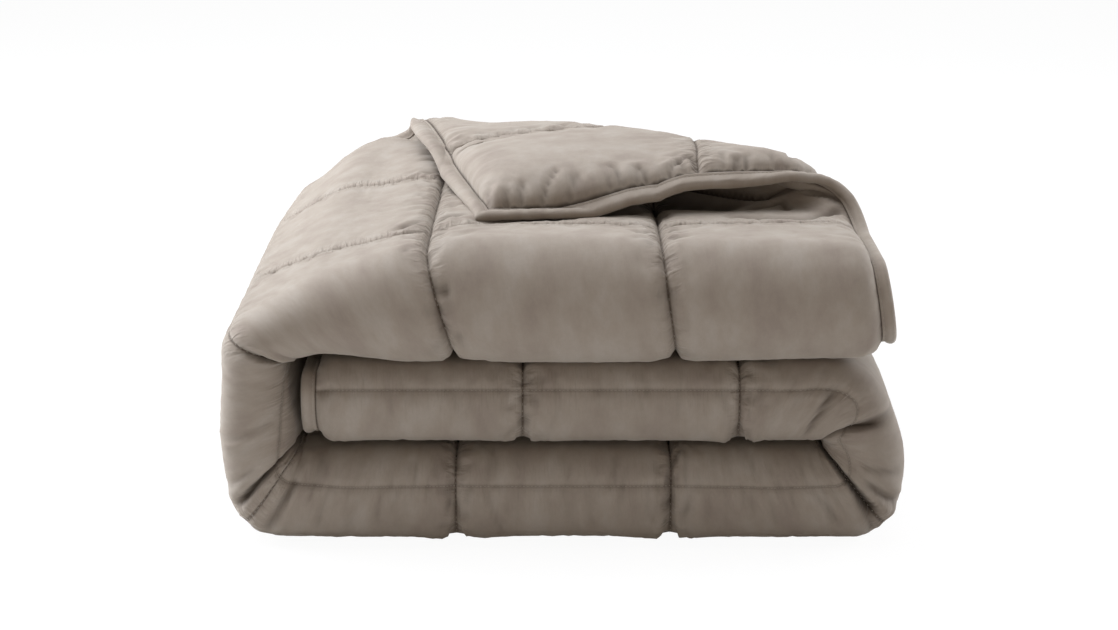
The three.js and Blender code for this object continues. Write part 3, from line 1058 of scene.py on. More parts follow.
    def marks_one_way(
        self, tree: bpy.types.NodeTree, cloth: Socket, place: Socket, way: int, most: Socket | float
    ) -> tuple[Socket, Socket, Socket]:
        """The marks of the seams that are crossed in one direction.

        Args:
            tree: the material's node tree.
            cloth: the flat place on the cloth, in metres.
            place: that place in this direction.
            way: 0 down the cloth and 1 over it.
            most: how strongly its seams show.

        Returns:
            The seam line, the puckers' height and the painted shade line beside the binding.
        """
        # Pingpong folds the place to its distance from the nearest seam.
        away = add_node(
            tree, "ShaderNodeMath", {"operation": "PINGPONG"},
            {0: place, 1: self.box_mm[way] * MM / 2},
        ).outputs["Value"]
        # The binding's inner edge lies as far on either side of the middle.
        off = place
        for operation, value in (
            ("SUBTRACT", self.middle_mm[way]), ("ABSOLUTE", 0.0),
            ("SUBTRACT", self.rim_mm[way]), ("ABSOLUTE", 0.0),
        ):
            off = add_node(
                tree, "ShaderNodeMath", {"operation": operation}, {0: off, 1: value * MM}
            ).outputs["Value"]
        line, fade, binding_shade_line = (
            add_node(
                tree, "ShaderNodeMapRange", {"interpolation_type": interpolation},
                {
                    "Value": distance, "From Min": low * MM, "From Max": high * MM,
                    "To Min": full, "To Max": 0.0,
                },
            ).outputs["Result"]
            for distance, interpolation, low, high, full in (
                (away, "SMOOTHSTEP", 0.0, self.line_mm, most),
                (away, "SMOOTHERSTEP", 0.0, self.pucker_reach_mm, 1.0),
                (off, "SMOOTHSTEP", *self.binding_shade_mm, 1.0),
            )
        )
        # Puckers are long in the direction that crosses the seam, and differ between directions.
        scale = np.full(3, 1 / (self.pucker_wave_mm * MM))
        scale[way] /= self.pucker_stretch
        scale[2] = 1.0
        stretched = add_node(
            tree, "ShaderNodeMapping", {"vector_type": "POINT"},
            {"Vector": cloth, "Scale": scale.tolist(), "Location": (0.0, 0.0, 7.0 * way)},
        )
        ripple = add_node(
            tree, "ShaderNodeTexNoise", None,
            {
                "Vector": stretched.outputs["Vector"], "Scale": 1.0,
                "Detail": 2.0, "Roughness": 0.5, "Distortion": 0.4,
            },
        ).outputs["Fac"]
        height = fade
        for factor in (most, ripple):
            height = add_node(
                tree, "ShaderNodeMath", {"operation": "MULTIPLY"}, {0: height, 1: factor}
            ).outputs["Value"]
        return line, height, binding_shade_line


@dataclass(frozen=True)
class SewingThread:
    """Spun polyester thread: a fine dull twist, a little paler than the cloth."""

    name: str = "spun_polyester_thread"
    base: str = "8d8479"
    roughness: float = 0.7
    sheen: float = 0.2
    # The twist's plies.
    ply_mm: float = 0.4
    ply_height_mm: float = 0.2

    def build(self) -> bpy.types.Material:
        """Makes the material, or returns it if it is made.

        Returns:
            The material.
        """
        made = bpy.data.materials.get(self.name)
        if made:
            return made
        made = blank_material(self.name)
        tree = made.node_tree
        place = add_node(tree, "ShaderNodeTexCoord").outputs["Object"]
        ply = add_node(
            tree, "ShaderNodeTexNoise", None,
            {"Vector": place, "Scale": 1 / (self.ply_mm * MM), "Detail": 2.0},
        )
        bump = add_node(
            tree, "ShaderNodeBump", None,
            {"Height": ply.outputs["Fac"], "Strength": 0.4, "Distance": self.ply_height_mm * MM},
        )
        shader = add_node(
            tree, "ShaderNodeBsdfPrincipled", None,
            {
                "Base Color": colour(self.base), "Normal": bump.outputs["Normal"],
                "Roughness": self.roughness, "Sheen Weight": self.sheen,
            },
        )
        add_node(tree, "ShaderNodeOutputMaterial", None, {"Surface": shader.outputs["BSDF"]})
        return made


@dataclass(frozen=True)
class PaleFloor:
    """Matt white studio floor, lit so evenly that little shade shows on it."""

    name: str = "matt_white_floor"
    base: str = "e9e9e8"
    # How brightly it glows where the camera sees it, and how much of it that makes up.
    glow: float = 1.05
    share: float = 0.9

    def build(self) -> bpy.types.Material:
        """Makes the material.

        Returns:
            The material.
        """
        made = blank_material(self.name)
        tree = made.node_tree
        matt = add_node(tree, "ShaderNodeBsdfDiffuse", None, {"Color": colour(self.base)})
        glow = add_node(
            tree, "ShaderNodeEmission", None, {"Color": colour("ffffff"), "Strength": self.glow}
        )
        seen = add_node(tree, "ShaderNodeLightPath").outputs["Is Camera Ray"]
        share = add_node(
            tree, "ShaderNodeMath", {"operation": "MULTIPLY"}, {0: seen, 1: self.share}
        )
        mixed = add_node(
            tree, "ShaderNodeMixShader", None,
            {0: share.outputs["Value"], 1: matt.outputs["BSDF"], 2: glow.outputs["Emission"]},
        )
        add_node(tree, "ShaderNodeOutputMaterial", None, {"Surface": mixed.outputs["Shader"]})
        return made


@dataclass
class BoxPuff:
    """How a box of cloth puckers at its seams when its filling swells it."""

    # How the patch's cloth is blown up, in the cloth solver's own units.
    CLOTH = {
        "quality": 6,
        "mass": 0.12,
        "air_damping": 4.0,
        "tension_stiffness": 40,
        "compression_stiffness": 5,
        "shear_stiffness": 2,
        "bending_stiffness": 0.02,
        "tension_damping": 15,
        "compression_damping": 15,
        "shear_damping": 15,
        "vertex_group_mass": "seams",
        "shrink_min": -0.03,
        "use_pressure": True,
        "uniform_pressure_force": 8.0,
    }

    sizes: Sizes
    cells_long: int = 56
    cells_wide: int = 60
    # How many boxes the patch has down and over the cloth.
    boxes: tuple[int, int] = (3, 2)
    # How high a box starts, how squarely it falls to its seams, and how uneven it is.
    start_height: float = 12.0
    start_power: int = 5
    start_rough: float = 0.25
    seed: int = 7
    frames: int = 24
    # One array for each box of the patch: how its cloth shifts, less what all boxes share.
    swell: list[Array] = field(default_factory=list)

    def prepare(self) -> None:
        self.swell = self.variants(self.simulate())

    def simulate(self) -> Array:
        """Blows up a flat patch of boxes held at their seams.

        Returns:
            How each point of its lattice shifts, in millimetres.
        """
        rng = np.random.default_rng(self.seed)
        nl, nw = self.boxes[0] * self.cells_long, self.boxes[1] * self.cells_wide
        lx = np.linspace(0, self.boxes[0] * self.sizes.box_long, nl + 1)
        ly = np.linspace(0, self.boxes[1] * self.sizes.box_wide, nw + 1)
        x, y = np.meshgrid(lx, ly, indexing="ij")
        fx = 1 - np.abs(2 * ((x / self.sizes.box_long) % 1) - 1) ** self.start_power
        fy = 1 - np.abs(2 * ((y / self.sizes.box_wide) % 1) - 1) ** self.start_power
        rough = rng.normal(0, self.start_rough, x.shape) * (fx * fy > 0)
        z = self.start_height * fx * fy + rough
        index = np.arange((nl + 1) * (nw + 1)).reshape(nl + 1, nw + 1)
        mesh = bpy.data.meshes.new("box_patch")
        mesh.from_pydata(
            (np.stack((x, y, z), axis=-1).reshape(-1, 3) * MM).tolist(),
            [],
            lattice_quads(index).reshape(-1, 4).tolist(),
        )
        patch = bpy.data.objects.new("box_patch", mesh)
        scene = bpy.context.scene
        scene.collection.objects.link(patch)
        held = patch.vertex_groups.new(name="seams")
        rows = np.arange(nl + 1) % self.cells_long == 0
        cols = np.arange(nw + 1) % self.cells_wide == 0
        held.add(index[rows[:, None] | cols[None, :]].tolist(), 1.0, "REPLACE")
        cloth = patch.modifiers.new("cloth", "CLOTH")
        for name, value in self.CLOTH.items():
            setattr(cloth.settings, name, value)
        cloth.settings.effector_weights.gravity = 0
        cloth.collision_settings.use_collision = False
        cloth.point_cache.frame_start = 1
        cloth.point_cache.frame_end = self.frames
        for step in range(1, self.frames + 1):
            scene.frame_set(step)
        shown = patch.evaluated_get(bpy.context.evaluated_depsgraph_get()).to_mesh()
        after = np.empty(len(shown.vertices) * 3, np.float32)
        shown.vertices.foreach_get("co", after)
        after = after.reshape(nl + 1, nw + 1, 3).astype(float) / MM
        bpy.data.objects.remove(patch, do_unlink=True)
        scene.frame_set(1)
        return after - np.stack((x, y, np.zeros_like(x)), axis=-1)

    def variants(self, shift: Array) -> list[Array]:
        """How the boxes of the patch differ.

        Args:
            shift: how each point of the patch's lattice shifts.

        Returns:
            Each box's shifts, less the mean of all boxes turned every way.
        """
        cl, cw = self.cells_long, self.cells_wide
        boxes = [
            shift[i * cl : (i + 1) * cl + 1, j * cw : (j + 1) * cw + 1]
            for i in range(self.boxes[0])
            for j in range(self.boxes[1])
        ]
        turned = [
            self.flipped(box, down, over)
            for box in boxes
            for down, over in ((False, False), (True, False), (False, True), (True, True))
        ]
        plain = np.mean(turned, axis=0)
        return [box - plain for box in boxes]

    @staticmethod
    def flipped(shift: Array, down: bool, over: bool) -> Array:
        """A box's shifts, mirrored.

        Args:
            shift: along, across and height shift over the box.
            down: whether it is mirrored along.
            over: whether it is mirrored across.

        Returns:
            The mirrored shifts.
        """
        if down:
            shift = shift[::-1] * (-1, 1, 1)
        if over:
            shift = shift[:, ::-1] * (1, -1, 1)
        return shift


@dataclass
class QuiltedCover:
    """The filled quilt: both faces off the fold plan's middle surface, closed round the rim."""

    plan: FoldPlan
    puff: BoxPuff
    finish: BrushedMicrofibre
    # How many cells a block has each way. A block's faces are as large as it is, or finer.
    group: int = 4
    seed: int = 11
    # How much closer the lattice lines run beside a seam than halfway.
    closeness: float = 0.4
    # Seam numbers between which the top half's outer face is half as coarse, and beyond which it
    # is finest. The inside face is finest on the turned-back corner, from this far before its roll.
    middling: tuple[tuple[float, float], ...] = ((2.3, 3.4), (5.8, 10.0))
    finest_from: float = 7.0
    finest_past: float = -20.0
    # How much of its thickness the quilt keeps at a seam: over its width, down its length, and on
    # the front fold, where the seam lies almost level with the tight cloth.
    cross_share: float = 0.62
    long_share: float = 0.88
    fold_share: float = 0.93
    # Seams that lie round a turn of the stack, pulled smooth, and what they keep.
    turn_seams: tuple[int, ...] = (3, 6, 7)
    turn_share: float = 0.9
    # How soon the filling swells up beside a seam, how much it domes, and how far in from the rim
    # the seams reach their usual share.
    rise: float = 6.0
    dome: float = 0.12
    rim_reach: float = 42.0
    # How deep the stitched pinch is: over its width, down its length and on a fold; and its width.
    pinch: float = 3.6
    long_pinch: float = 2.4
    fold_pinch: float = 1.6
    pinch_width: float = 2.4
    # How much of the simulated puckers shows.
    pucker: float = 0.9
    # A crease this deep has its full painted shade in the colour, and a shallower one this power of
    # its share.
    full_shade_depth: float = 9.0
    shade_power: float = 1.5
    # A face stands off no more than this share of the room inside a bend, smoothed this often.
    room_share: float = 0.9
    room_passes: int = 3

    def __post_init__(self) -> None:
        """Gathers the creases of both faces."""
        self.creases = list(CREASES)
        for tucks in TUCKS:
            self.creases += tucks.creases(self.plan.sizes)

    def creased(self, along: Array, across: Array, face: Face) -> Array:
        """How deep one face is creased at flat places.

        Args:
            along: flat places down the length.
            across: flat places over the width.
            face: the face.

        Returns:
            The depth in millimetres, below 0 for a ridge.
        """
        depth = np.zeros(along.size)
        a, b = along.ravel(), across.ravel()
        for crease in self.creases:
            if crease.face is not face:
                continue
            near = crease.beside(self.plan.sizes, a, b)
            depth[near] += crease.depth_at(self.plan.sizes, a[near], b[near])
        return depth.reshape(along.shape)

    def lines(self, total: float, boxes: int, cells: int) -> Array:
        """Lattice lines in one direction.

        Args:
            total: the duvet's size in that direction.
            boxes: how many boxes it has.
            cells: how many cells a whole box has.

        Returns:
            The lines, closer in the rim strip.
        """
        tape = self.plan.sizes.tape_width
        size = total / boxes
        lines = [np.linspace(0, tape, self.group + 1)[:-1]]
        for box in range(boxes):
            low, high, count = box * size, (box + 1) * size, cells
            if box == 0:
                low, count = tape, cells - self.group
            if box == boxes - 1:
                high, count = total - tape, cells - self.group
            share = np.linspace(0, 1, count + 1)[:-1]
            share -= self.closeness * np.sin(2 * math.pi * share) / (2 * math.pi)
            lines.append(low + (high - low) * share)
        lines.append(np.linspace(total - tape, total, self.group + 1))
        return np.concatenate(lines)

    def levels(self, along: Array, across: Array) -> tuple[Array, Array]:
        """How coarse each block of cells is on each face.

        Args:
            along: lattice lines down the length.
            across: lattice lines over the width.

        Returns:
            Cells per side of a mesh face in each block, one array for each face of the quilt.
        """
        g = self.group
        a = (along[:-1:g] + along[g::g])[:, None] / 2 + np.zeros((1, (len(across) - 1) // g))
        b = (across[:-1:g] + across[g::g])[None, :] / 2 + np.zeros((len(a), 1))
        out = np.full(a.shape, g)
        s = self.plan.sizes
        for low, high in self.middling:
            out[(b > 0) & (a > low * s.box_long) & (a < high * s.box_long)] = g // 2
        out[np.abs(b) < s.box_wide / 2] = 1
        out[(b > 0) & (a > self.finest_from * s.box_long)] = 1
        inside = np.full(a.shape, g)
        inside[(self.plan.corner.past(s, a, b) > self.finest_past) & (b > 0)] = 1
        return out, inside

    def faces(self, levels: Array, shape: tuple[int, int]) -> list[list[int]]:
        """Faces of one sheet, with each coarse face taking in its finer neighbours' points.

        Args:
            levels: how coarse each block is.
            shape: how many lattice points there are each way.

        Returns:
            Lists of lattice point numbers.
        """
        g, (rows, cols) = self.group, shape
        index = np.arange(rows * cols).reshape(rows, cols)
        used = np.zeros(shape, bool)
        for level in (1, g // 2, g):
            for i, j in zip(*np.nonzero(levels == level)):
                used[i * g : i * g + g + 1 : level, j * g : j * g + g + 1 : level] = True
        made: list[list[int]] = []
        for i, j in zip(*np.nonzero(levels > 1)):
            step = int(levels[i, j])
            for r in range(i * g, i * g + g, step):
                for c in range(j * g, j * g + g, step):
                    rim = (
                        [(r + k, c) for k in range(step)]
                        + [(r + step, c + k) for k in range(step)]
                        + [(r + step - k, c + step) for k in range(step)]
                        + [(r, c + step - k) for k in range(step)]
                    )
                    made.append([int(index[p]) for p in rim if used[p]])
        fine = np.repeat(np.repeat(levels == 1, g, 0), g, 1)
        return made + lattice_quads(index)[fine].tolist()

    def plain_half(self, along: Array, across: Array, face: Face) -> Array:
        """Half the quilt's thickness on one face, with its seams and creases and without puckers.

        Args:
            along: flat places down the length.
            across: flat places over the width.
            face: the face.

        Returns:
            The thickness in millimetres.
        """
        s = self.plan.sizes
        on_fold = np.abs(across) < s.box_wide / 2
        to_rim = np.minimum(np.minimum(along, s.length - along), s.half_width - np.abs(across))
        crown = self.plan.crown(along, across, face)
        edge = smoothstep(to_rim, s.tape_width, self.rim_reach)
        half = crown - s.rim_half
        pinched = np.zeros_like(along)
        on_turn = np.isin(np.round(along / s.box_long), self.turn_seams)
        down = (along, s.box_long, s.length, self.cross_share, self.pinch)
        over = (across + s.half_width, s.box_wide, s.width, self.long_share, self.long_pinch)
        for (at, size, total, share, pinch), smooth, smooth_share in (
            (down, on_turn, self.turn_share), (over, on_fold, self.fold_share)
        ):
            low, high = s.box_span(at, size, total)
            away = np.maximum(np.minimum(at - low, high - at), 0)
            middle = np.clip((at - low) / (high - low), 0, 1)
            swell = (1 - np.exp(-away / self.rise)) * (1 - self.dome * (2 * middle - 1) ** 2)
            kept = np.where(smooth, smooth_share, share)
            depth = np.where(smooth, self.fold_pinch, pinch)
            half = half * (1 - (1 - kept * edge) * (1 - swell))
            pinched = np.maximum(pinched, depth * np.exp(-((away / self.pinch_width) ** 2)))
        half = s.rim_half + half - pinched * (to_rim > s.tape_width + 1.0)
        return np.maximum(half - self.creased(along, across, face), s.seam_half)

    def puckers(self, along: Array, across: Array, face: Face) -> Array:
        """How the cloth puckers beside its seams.

        Args:
            along: flat places down the length.
            across: flat places over the width.
            face: the face.

        Returns:
            Shifts along, across and off the face, in millimetres.
        """
        shifts = np.zeros((*along.shape, 3))
        if not self.puff.swell:
            return shifts
        s = self.plan.sizes
        rng = np.random.default_rng(self.seed + face.value)
        picks = rng.integers(0, len(self.puff.swell), (s.boxes_along, s.boxes_across))
        flips = rng.integers(0, 2, (s.boxes_along, s.boxes_across, 2))
        for i in range(s.boxes_along):
            span = s.box_span((i + 0.5) * s.box_long, s.box_long, s.length)
            rows, u = self.within(along[:, 0], *span)
            for j in range(s.boxes_across):
                span = s.box_span((j + 0.5) * s.box_wide, s.box_wide, s.width)
                cols, v = self.within(across[0], *(end - s.half_width for end in span))
                swell = self.puff.flipped(self.puff.swell[picks[i, j]], *map(bool, flips[i, j]))
                shifts[np.ix_(rows, cols)] = self.sampled(swell, u, v)
        return shifts

    @staticmethod
    def within(lines: Array, low: float, high: float) -> tuple[Array, Array]:
        """The lattice lines of a box in one direction.

        Args:
            lines: the lattice lines in that direction.
            low: where the box starts.
            high: where it ends.

        Returns:
            Their numbers, and the share of the box at which each one lies.
        """
        near = 0.01
        found = np.nonzero((lines >= low - near) & (lines <= high + near))[0]
        return found, np.clip((lines[found] - low) / (high - low), 0, 1)

    @staticmethod
    def sampled(values: Array, u: Array, v: Array) -> Array:
        """Bilinear samples of a grid over the unit square.

        Args:
            values: the grid.
            u: shares down the first direction.
            v: shares down the second.

        Returns:
            The samples, one row for each u.
        """
        n, m = values.shape[0] - 1, values.shape[1] - 1
        i, j = np.minimum((u * n).astype(int), n - 1), np.minimum((v * m).astype(int), m - 1)
        fu, fv = (u * n - i)[:, None, None], (v * m - j)[None, :, None]
        return (
            values[np.ix_(i, j)] * (1 - fu) * (1 - fv)
            + values[np.ix_(i + 1, j)] * fu * (1 - fv)
            + values[np.ix_(i, j + 1)] * (1 - fu) * fv
            + values[np.ix_(i + 1, j + 1)] * fu * fv
        )

    def room(self, middle: Array, normal: Array, sign: float) -> Array:
        """How far a face may stand off a tightly bent middle surface before it would cross itself.

        Args:
            middle: lattice points of the middle surface.
            normal: their normals.
            sign: 1 for the outer face and -1 for the inside one.

        Returns:
            The most half thickness at each point, in millimetres.
        """
        # Cloth that bends less than this, in turns for each millimetre, has room enough.
        flat, anywhere = 1e-4, 1e3
        most = np.full(middle.shape[:2], anywhere)
        for axis in (0, 1):
            run = np.gradient(middle, axis=axis)
            turn = np.gradient(normal, axis=axis)
            bend = -sign * (turn * run).sum(-1) / np.maximum((run * run).sum(-1), 1e-6)
            for _ in range(self.room_passes):
                bend = (np.roll(bend, 1, axis) + bend + np.roll(bend, -1, axis)) / 3
            most = np.minimum(most, self.room_share / np.maximum(bend, flat))
        return most

    def build(self) -> bpy.types.Object:
        """Builds the quilt.

        Returns:
            The object.
        """
        s = self.plan.sizes
        along_lines = self.lines(s.length, s.boxes_along, self.puff.cells_long)
        across_lines = self.lines(s.width, s.boxes_across, self.puff.cells_wide) - s.half_width
        along, across = np.meshgrid(along_lines, across_lines, indexing="ij")
        middle = self.plan.folded(along, across)
        down, over = np.gradient(middle, axis=0), np.gradient(middle, axis=1)
        normal = unit(np.cross(down, over))
        ways = (unit(down), unit(over))
        sheets = []
        for face, sign in ((Face.OUT, 1.0), (Face.INSIDE, -1.0)):
            shifts = self.puckers(along, across, face) * self.pucker
            half = np.maximum(self.plain_half(along, across, face) + shifts[..., 2], s.seam_half)
            # The thickness nears the room that it has without reaching it.
            half = half / (1 + (half / self.room(middle, normal, sign)) ** 4) ** 0.25
            points = middle + normal * (sign * half)[..., None]
            for k in (0, 1):
                points += ways[k] * shifts[..., k][..., None]
            points[..., 2] = np.maximum(points[..., 2], 0)
            sheets.append(points.reshape(-1, 3))
        shape, count = along.shape, along.size
        out_levels, inside_levels = self.levels(along_lines, across_lines)
        faces = self.faces(out_levels, shape)
        under = self.faces(inside_levels, shape)
        LOG.info("quilt sheets: %d and %d faces", len(faces), len(under))
        faces += [[p + count for p in reversed(f)] for f in under]
        faces += self.rim_faces(out_levels, inside_levels, shape, count)
        points = np.concatenate(sheets)
        flat = np.tile(np.stack((along, across), axis=-1).reshape(-1, 2), (2, 1))
        keep = np.unique(np.concatenate([np.array(f) for f in faces]))
        place = np.full(len(points), -1)
        place[keep] = np.arange(len(keep))
        faces = [[int(place[p]) for p in f] for f in faces]
        # How deep each point lies in a crease, as a share: the finish paints it in as shade.
        depth = np.concatenate([self.creased(along, across, face).ravel() for face in Face])
        pressed = np.clip(depth / self.full_shade_depth, 0, 1) ** self.shade_power
        return add_mesh("duvet_quilt", points[keep], faces, self.finish, flat[keep], pressed[keep])

    def rim_faces(
        self, out: Array, inside: Array, shape: tuple[int, int], count: int
    ) -> list[list[int]]:
        """Faces that close the quilt round its rim, one for each block.

        Args:
            out: how coarse the outer face's blocks are.
            inside: how coarse the inside face's blocks are.
            shape: how many lattice points there are each way.
            count: how many lattice points a sheet has.

        Returns:
            Lists of point numbers.
        """
        g, (rows, cols) = self.group, shape
        index = np.arange(rows * cols).reshape(rows, cols)
        made = []
        sides = (
            (index[0], out[0], inside[0], False),
            (index[-1], out[-1], inside[-1], True),
            (index[:, 0], out[:, 0], inside[:, 0], True),
            (index[:, -1], out[:, -1], inside[:, -1], False),
        )
        for line, outs, insides, turn in sides:
            for k, (o, i) in enumerate(zip(outs, insides)):
                upper = line[k * g : k * g + g + 1 : int(o)].tolist()
                lower = (line[k * g : k * g + g + 1 : int(i)] + count).tolist()
                ring = upper + lower[::-1]
                made.append(ring if turn else ring[::-1])
        return made


@dataclass
class BindingTape:
    """The tape folded over the rim: a soft rolled edge, flattened where it is stitched."""

    plan: FoldPlan
    finish: BrushedMicrofibre
    # Distance in from the rim and height above the quilt's middle, in millimetres.
    profile: tuple[tuple[float, float], ...] = (
        (12.4, 1.9), (12.6, 3.0), (12.0, 3.7), (11.2, 3.5), (10.3, 3.0), (9.2, 3.4), (7.2, 4.6),
        (4.6, 5.4), (2.0, 5.3), (-0.2, 4.2), (-1.5, 2.2), (-1.9, 0.0),
    )
    # How many cross-sections a long side and a short side have.
    stations: tuple[int, int] = (550, 350)
    # The rolled edge bulges unevenly: the lengths of its waves, how each one's length varies, how
    # strong it is, and between which heights the bulge grows.
    waves: tuple[float, ...] = (14.0, 9.0, 23.0, 41.0)
    wave_spread: float = 0.25
    wave_height: float = 0.25
    bulge: float = 0.3
    bulge_from: float = 2.8
    bulge_most: float = 3.0
    seed: int = 5

    def ring(self) -> Array:
        """The whole cross-section, round from the outer face to the inside one.

        Returns:
            Distance in from the rim and height, one row for each point.
        """
        top = np.array(self.profile)
        return np.concatenate((top, (top * (1, -1))[-2::-1]))

    def places(self, inset: Array) -> Array:
        """Flat places of every cross-section, round the rim from corner to corner.

        Args:
            inset: each ring point's distance in from the rim.

        Returns:
            Along and across of each ring point of each cross-section.
        """
        s = self.plan.sizes
        low, high = inset - s.half_width, s.half_width - inset
        corners = ((inset, low), (s.length - inset, low), (s.length - inset, high), (inset, high))
        sides = []
        for k, count in enumerate(self.stations * 2):
            share = (np.arange(count) / count)[:, None]
            ends = zip(corners[k], corners[(k + 1) % len(corners)])
            sides.append(np.stack([p + (q - p) * share for p, q in ends], axis=-1))
        return np.concatenate(sides)

    def ripple(self, count: int) -> Array:
        """How the rolled edge swells and thins from cross-section to cross-section.

        Args:
            count: how many cross-sections there are.

        Returns:
            The swelling at each one.
        """
        # The usual distance between cross-sections, in millimetres.
        step = 4.0
        rng = np.random.default_rng(self.seed)
        made = np.zeros(count)
        for wave in self.waves:
            run = np.cumsum(rng.normal(1, self.wave_spread, count)) * step
            made += np.sin(run * 2 * math.pi / wave) * self.wave_height
        return made

    def build(self) -> bpy.types.Object:
        """Builds the tape as one closed ring.

        Returns:
            The object.
        """
        inset, up = self.ring().T
        flat = self.places(inset)
        along, across = flat[..., 0], flat[..., 1]
        n, m = along.shape
        swell = np.clip(np.abs(up) - self.bulge_from, 0, self.bulge_most) * self.bulge
        height = up + np.sign(up) * swell * self.ripple(n)[:, None]
        normal = FoldPlan.normals(self.plan.folded, along, across)
        points = self.plan.folded(along, across) + normal * height[..., None]
        points[..., 2] = np.maximum(points[..., 2], 0)
        # The lattice closes on itself round the ring and round the rim.
        index = np.pad(np.arange(n * m).reshape(n, m), ((0, 1), (0, 1)), mode="wrap")
        quads = lattice_quads(index).reshape(-1, 4).tolist()
        return add_mesh(
            "duvet_binding", points.reshape(-1, 3), quads, self.finish, flat.reshape(-1, 2)
        )


# A row of stitches: along and across of its start and its end, and its height above the quilt's
# middle, or 0 for a seam, whose stitches lie on the quilt's outer face.
StitchRow = tuple[float, float, float, float, float]


@dataclass(frozen=True)
class StitchPlan:
    """Where the rows of stitches run, in millimetres."""

    sizes: Sizes
    # How many boxes either side of the front fold the seams over the width are stitched, and from
    # which seam on they are stitched over the whole top half.
    near_fold: float = 0.6
    whole_from: int = 7
    # From which seam on the seams down the length are stitched, and how many boxes off the fold.
    long_from: int = 6
    long_seams: tuple[int, ...] = (1, 2)
    # How far in from the rim the tape's rows lie, and how far off the quilt's middle.
    tape_inset: float = 10.3
    tape_height: float = 3.15

    def seams(self) -> list[StitchRow]:
        """The rows of the seams that can be seen."""
        s = self.sizes
        edge, reach = s.tape_width, self.near_fold * s.box_wide
        rows = []
        for k in range(1, s.boxes_along):
            a = k * s.box_long
            rows.append((a, -reach, a, reach, 0.0))
            if k >= self.whole_from:
                rows.append((a, reach, a, s.half_width - edge, 0.0))
        rows.append((edge, 0.0, s.length - edge, 0.0, 0.0))
        for k in self.long_seams:
            b = k * s.box_wide
            rows.append((self.long_from * s.box_long, b, s.length - edge, b, 0.0))
        return rows

    def tape(self) -> list[StitchRow]:
        """The rows round the tape, on its outer face and on its inside one."""
        near, far = self.tape_inset, self.sizes.length - self.tape_inset
        side = self.sizes.half_width - self.tape_inset
        corners = ((near, -side), (far, -side), (far, side), (near, side))
        return [
            (*corners[k], *corners[(k + 1) % len(corners)], up)
            for up in (self.tape_height, -self.tape_height)
            for k in range(len(corners))
        ]


@dataclass
class Stitching:
    """Rows of stitches, each a short fine grain of thread, in millimetres."""

    # A stitch's rings: their place as a share of its length, and their share of its thickness.
    RINGS = ((-0.5, 0.35), (-0.38, 0.85), (0.0, 1.0), (0.38, 0.85), (0.5, 0.35))
    SIDES = 6

    plan: FoldPlan
    cover: QuiltedCover
    finish: SewingThread
    pitch: float = 4.0
    length: float = 2.7
    thick: float = 0.7
    # How far a seam's stitches lie off the cloth, as a share of their thickness.
    proud: float = 0.2

    def grain(self) -> tuple[Array, list[list[int]]]:
        """One stitch about its own middle: along, side and up.

        Returns:
            Its points and faces.
        """
        n, half = self.SIDES, self.thick / 2
        around = [2 * math.pi * k / n for k in range(n)]
        points = [
            (at * self.length, r * half * math.cos(angle), r * half * math.sin(angle))
            for at, r in self.RINGS
            for angle in around
        ]
        last = (len(self.RINGS) - 1) * n
        faces = [
            [i + n + k, i + n + (k + 1) % n, i + (k + 1) % n, i + k]
            for i in range(0, last, n)
            for k in range(n)
        ]
        faces += [list(range(n)), list(range(last + n - 1, last - 1, -1))]
        return np.array(points), faces

    def build(self, name: str, rows: list[StitchRow]) -> bpy.types.Object:
        """Builds stitches along flat lines.

        Args:
            name: the piece's name.
            rows: the lines.

        Returns:
            The object.
        """
        places, heights = [], []
        for a0, b0, a1, b1, up in rows:
            count = max(int(math.hypot(a1 - a0, b1 - b0) / self.pitch), 1)
            share = ((np.arange(count) + 0.5) / count)[:, None]
            places.append(np.array((a0, b0)) * (1 - share) + np.array((a1, b1)) * share)
            way = unit(np.array((a1 - a0, b1 - b0), float))
            heights.append(np.column_stack((np.full(count, up), np.tile(way, (count, 1)))))
        along, across = np.concatenate(places).T
        up, way_along, way_across = np.concatenate(heights).T
        on_quilt = self.cover.plain_half(along, across, Face.OUT) + self.proud * self.thick
        up = np.where(up == 0, on_quilt, up)
        middle = self.plan.folded(along, across)
        ahead = self.plan.folded(along + way_along, across + way_across)
        normal = FoldPlan.normals(self.plan.folded, along, across)
        run = unit(ahead - middle)
        side = unit(np.cross(normal, run))
        rise = np.cross(run, side) * np.sign(up)[:, None]
        base = middle + normal * up[:, None]
        grain, faces = self.grain()
        points = base[:, None] + sum(
            axis[:, None] * grain[None, :, k, None] for k, axis in enumerate((run, side, rise))
        )
        first = np.arange(len(base))[:, None, None] * len(grain)
        all_faces: list[list[int]] = []
        for corners in (4, self.SIDES):
            alike = np.array([face for face in faces if len(face) == corners])
            all_faces += (alike[None] + first).reshape(-1, corners).tolist()
        return add_mesh(name, points.reshape(-1, 3), all_faces, self.finish)


@dataclass(frozen=True)
class Softbox:
    """A square soft light, in metres and watts."""

    name: str
    place: tuple[float, float, float]
    size: float
    power: float
    tint: str = "f4f8ff"

    def build(self, aim: Vector) -> None:
        """Adds the light.

        Args:
            aim: the point that it faces.
        """
        data = bpy.data.lights.new(self.name, "AREA")
        data.shape, data.size, data.energy = "SQUARE", self.size, self.power
        data.color = colour(self.tint)[:3]
        lamp = bpy.data.objects.new(self.name, data)
        bpy.context.scene.collection.objects.link(lamp)
        lamp.location = self.place
        lamp.rotation_euler = (aim - Vector(self.place)).to_track_quat("-Z", "Y").to_euler()


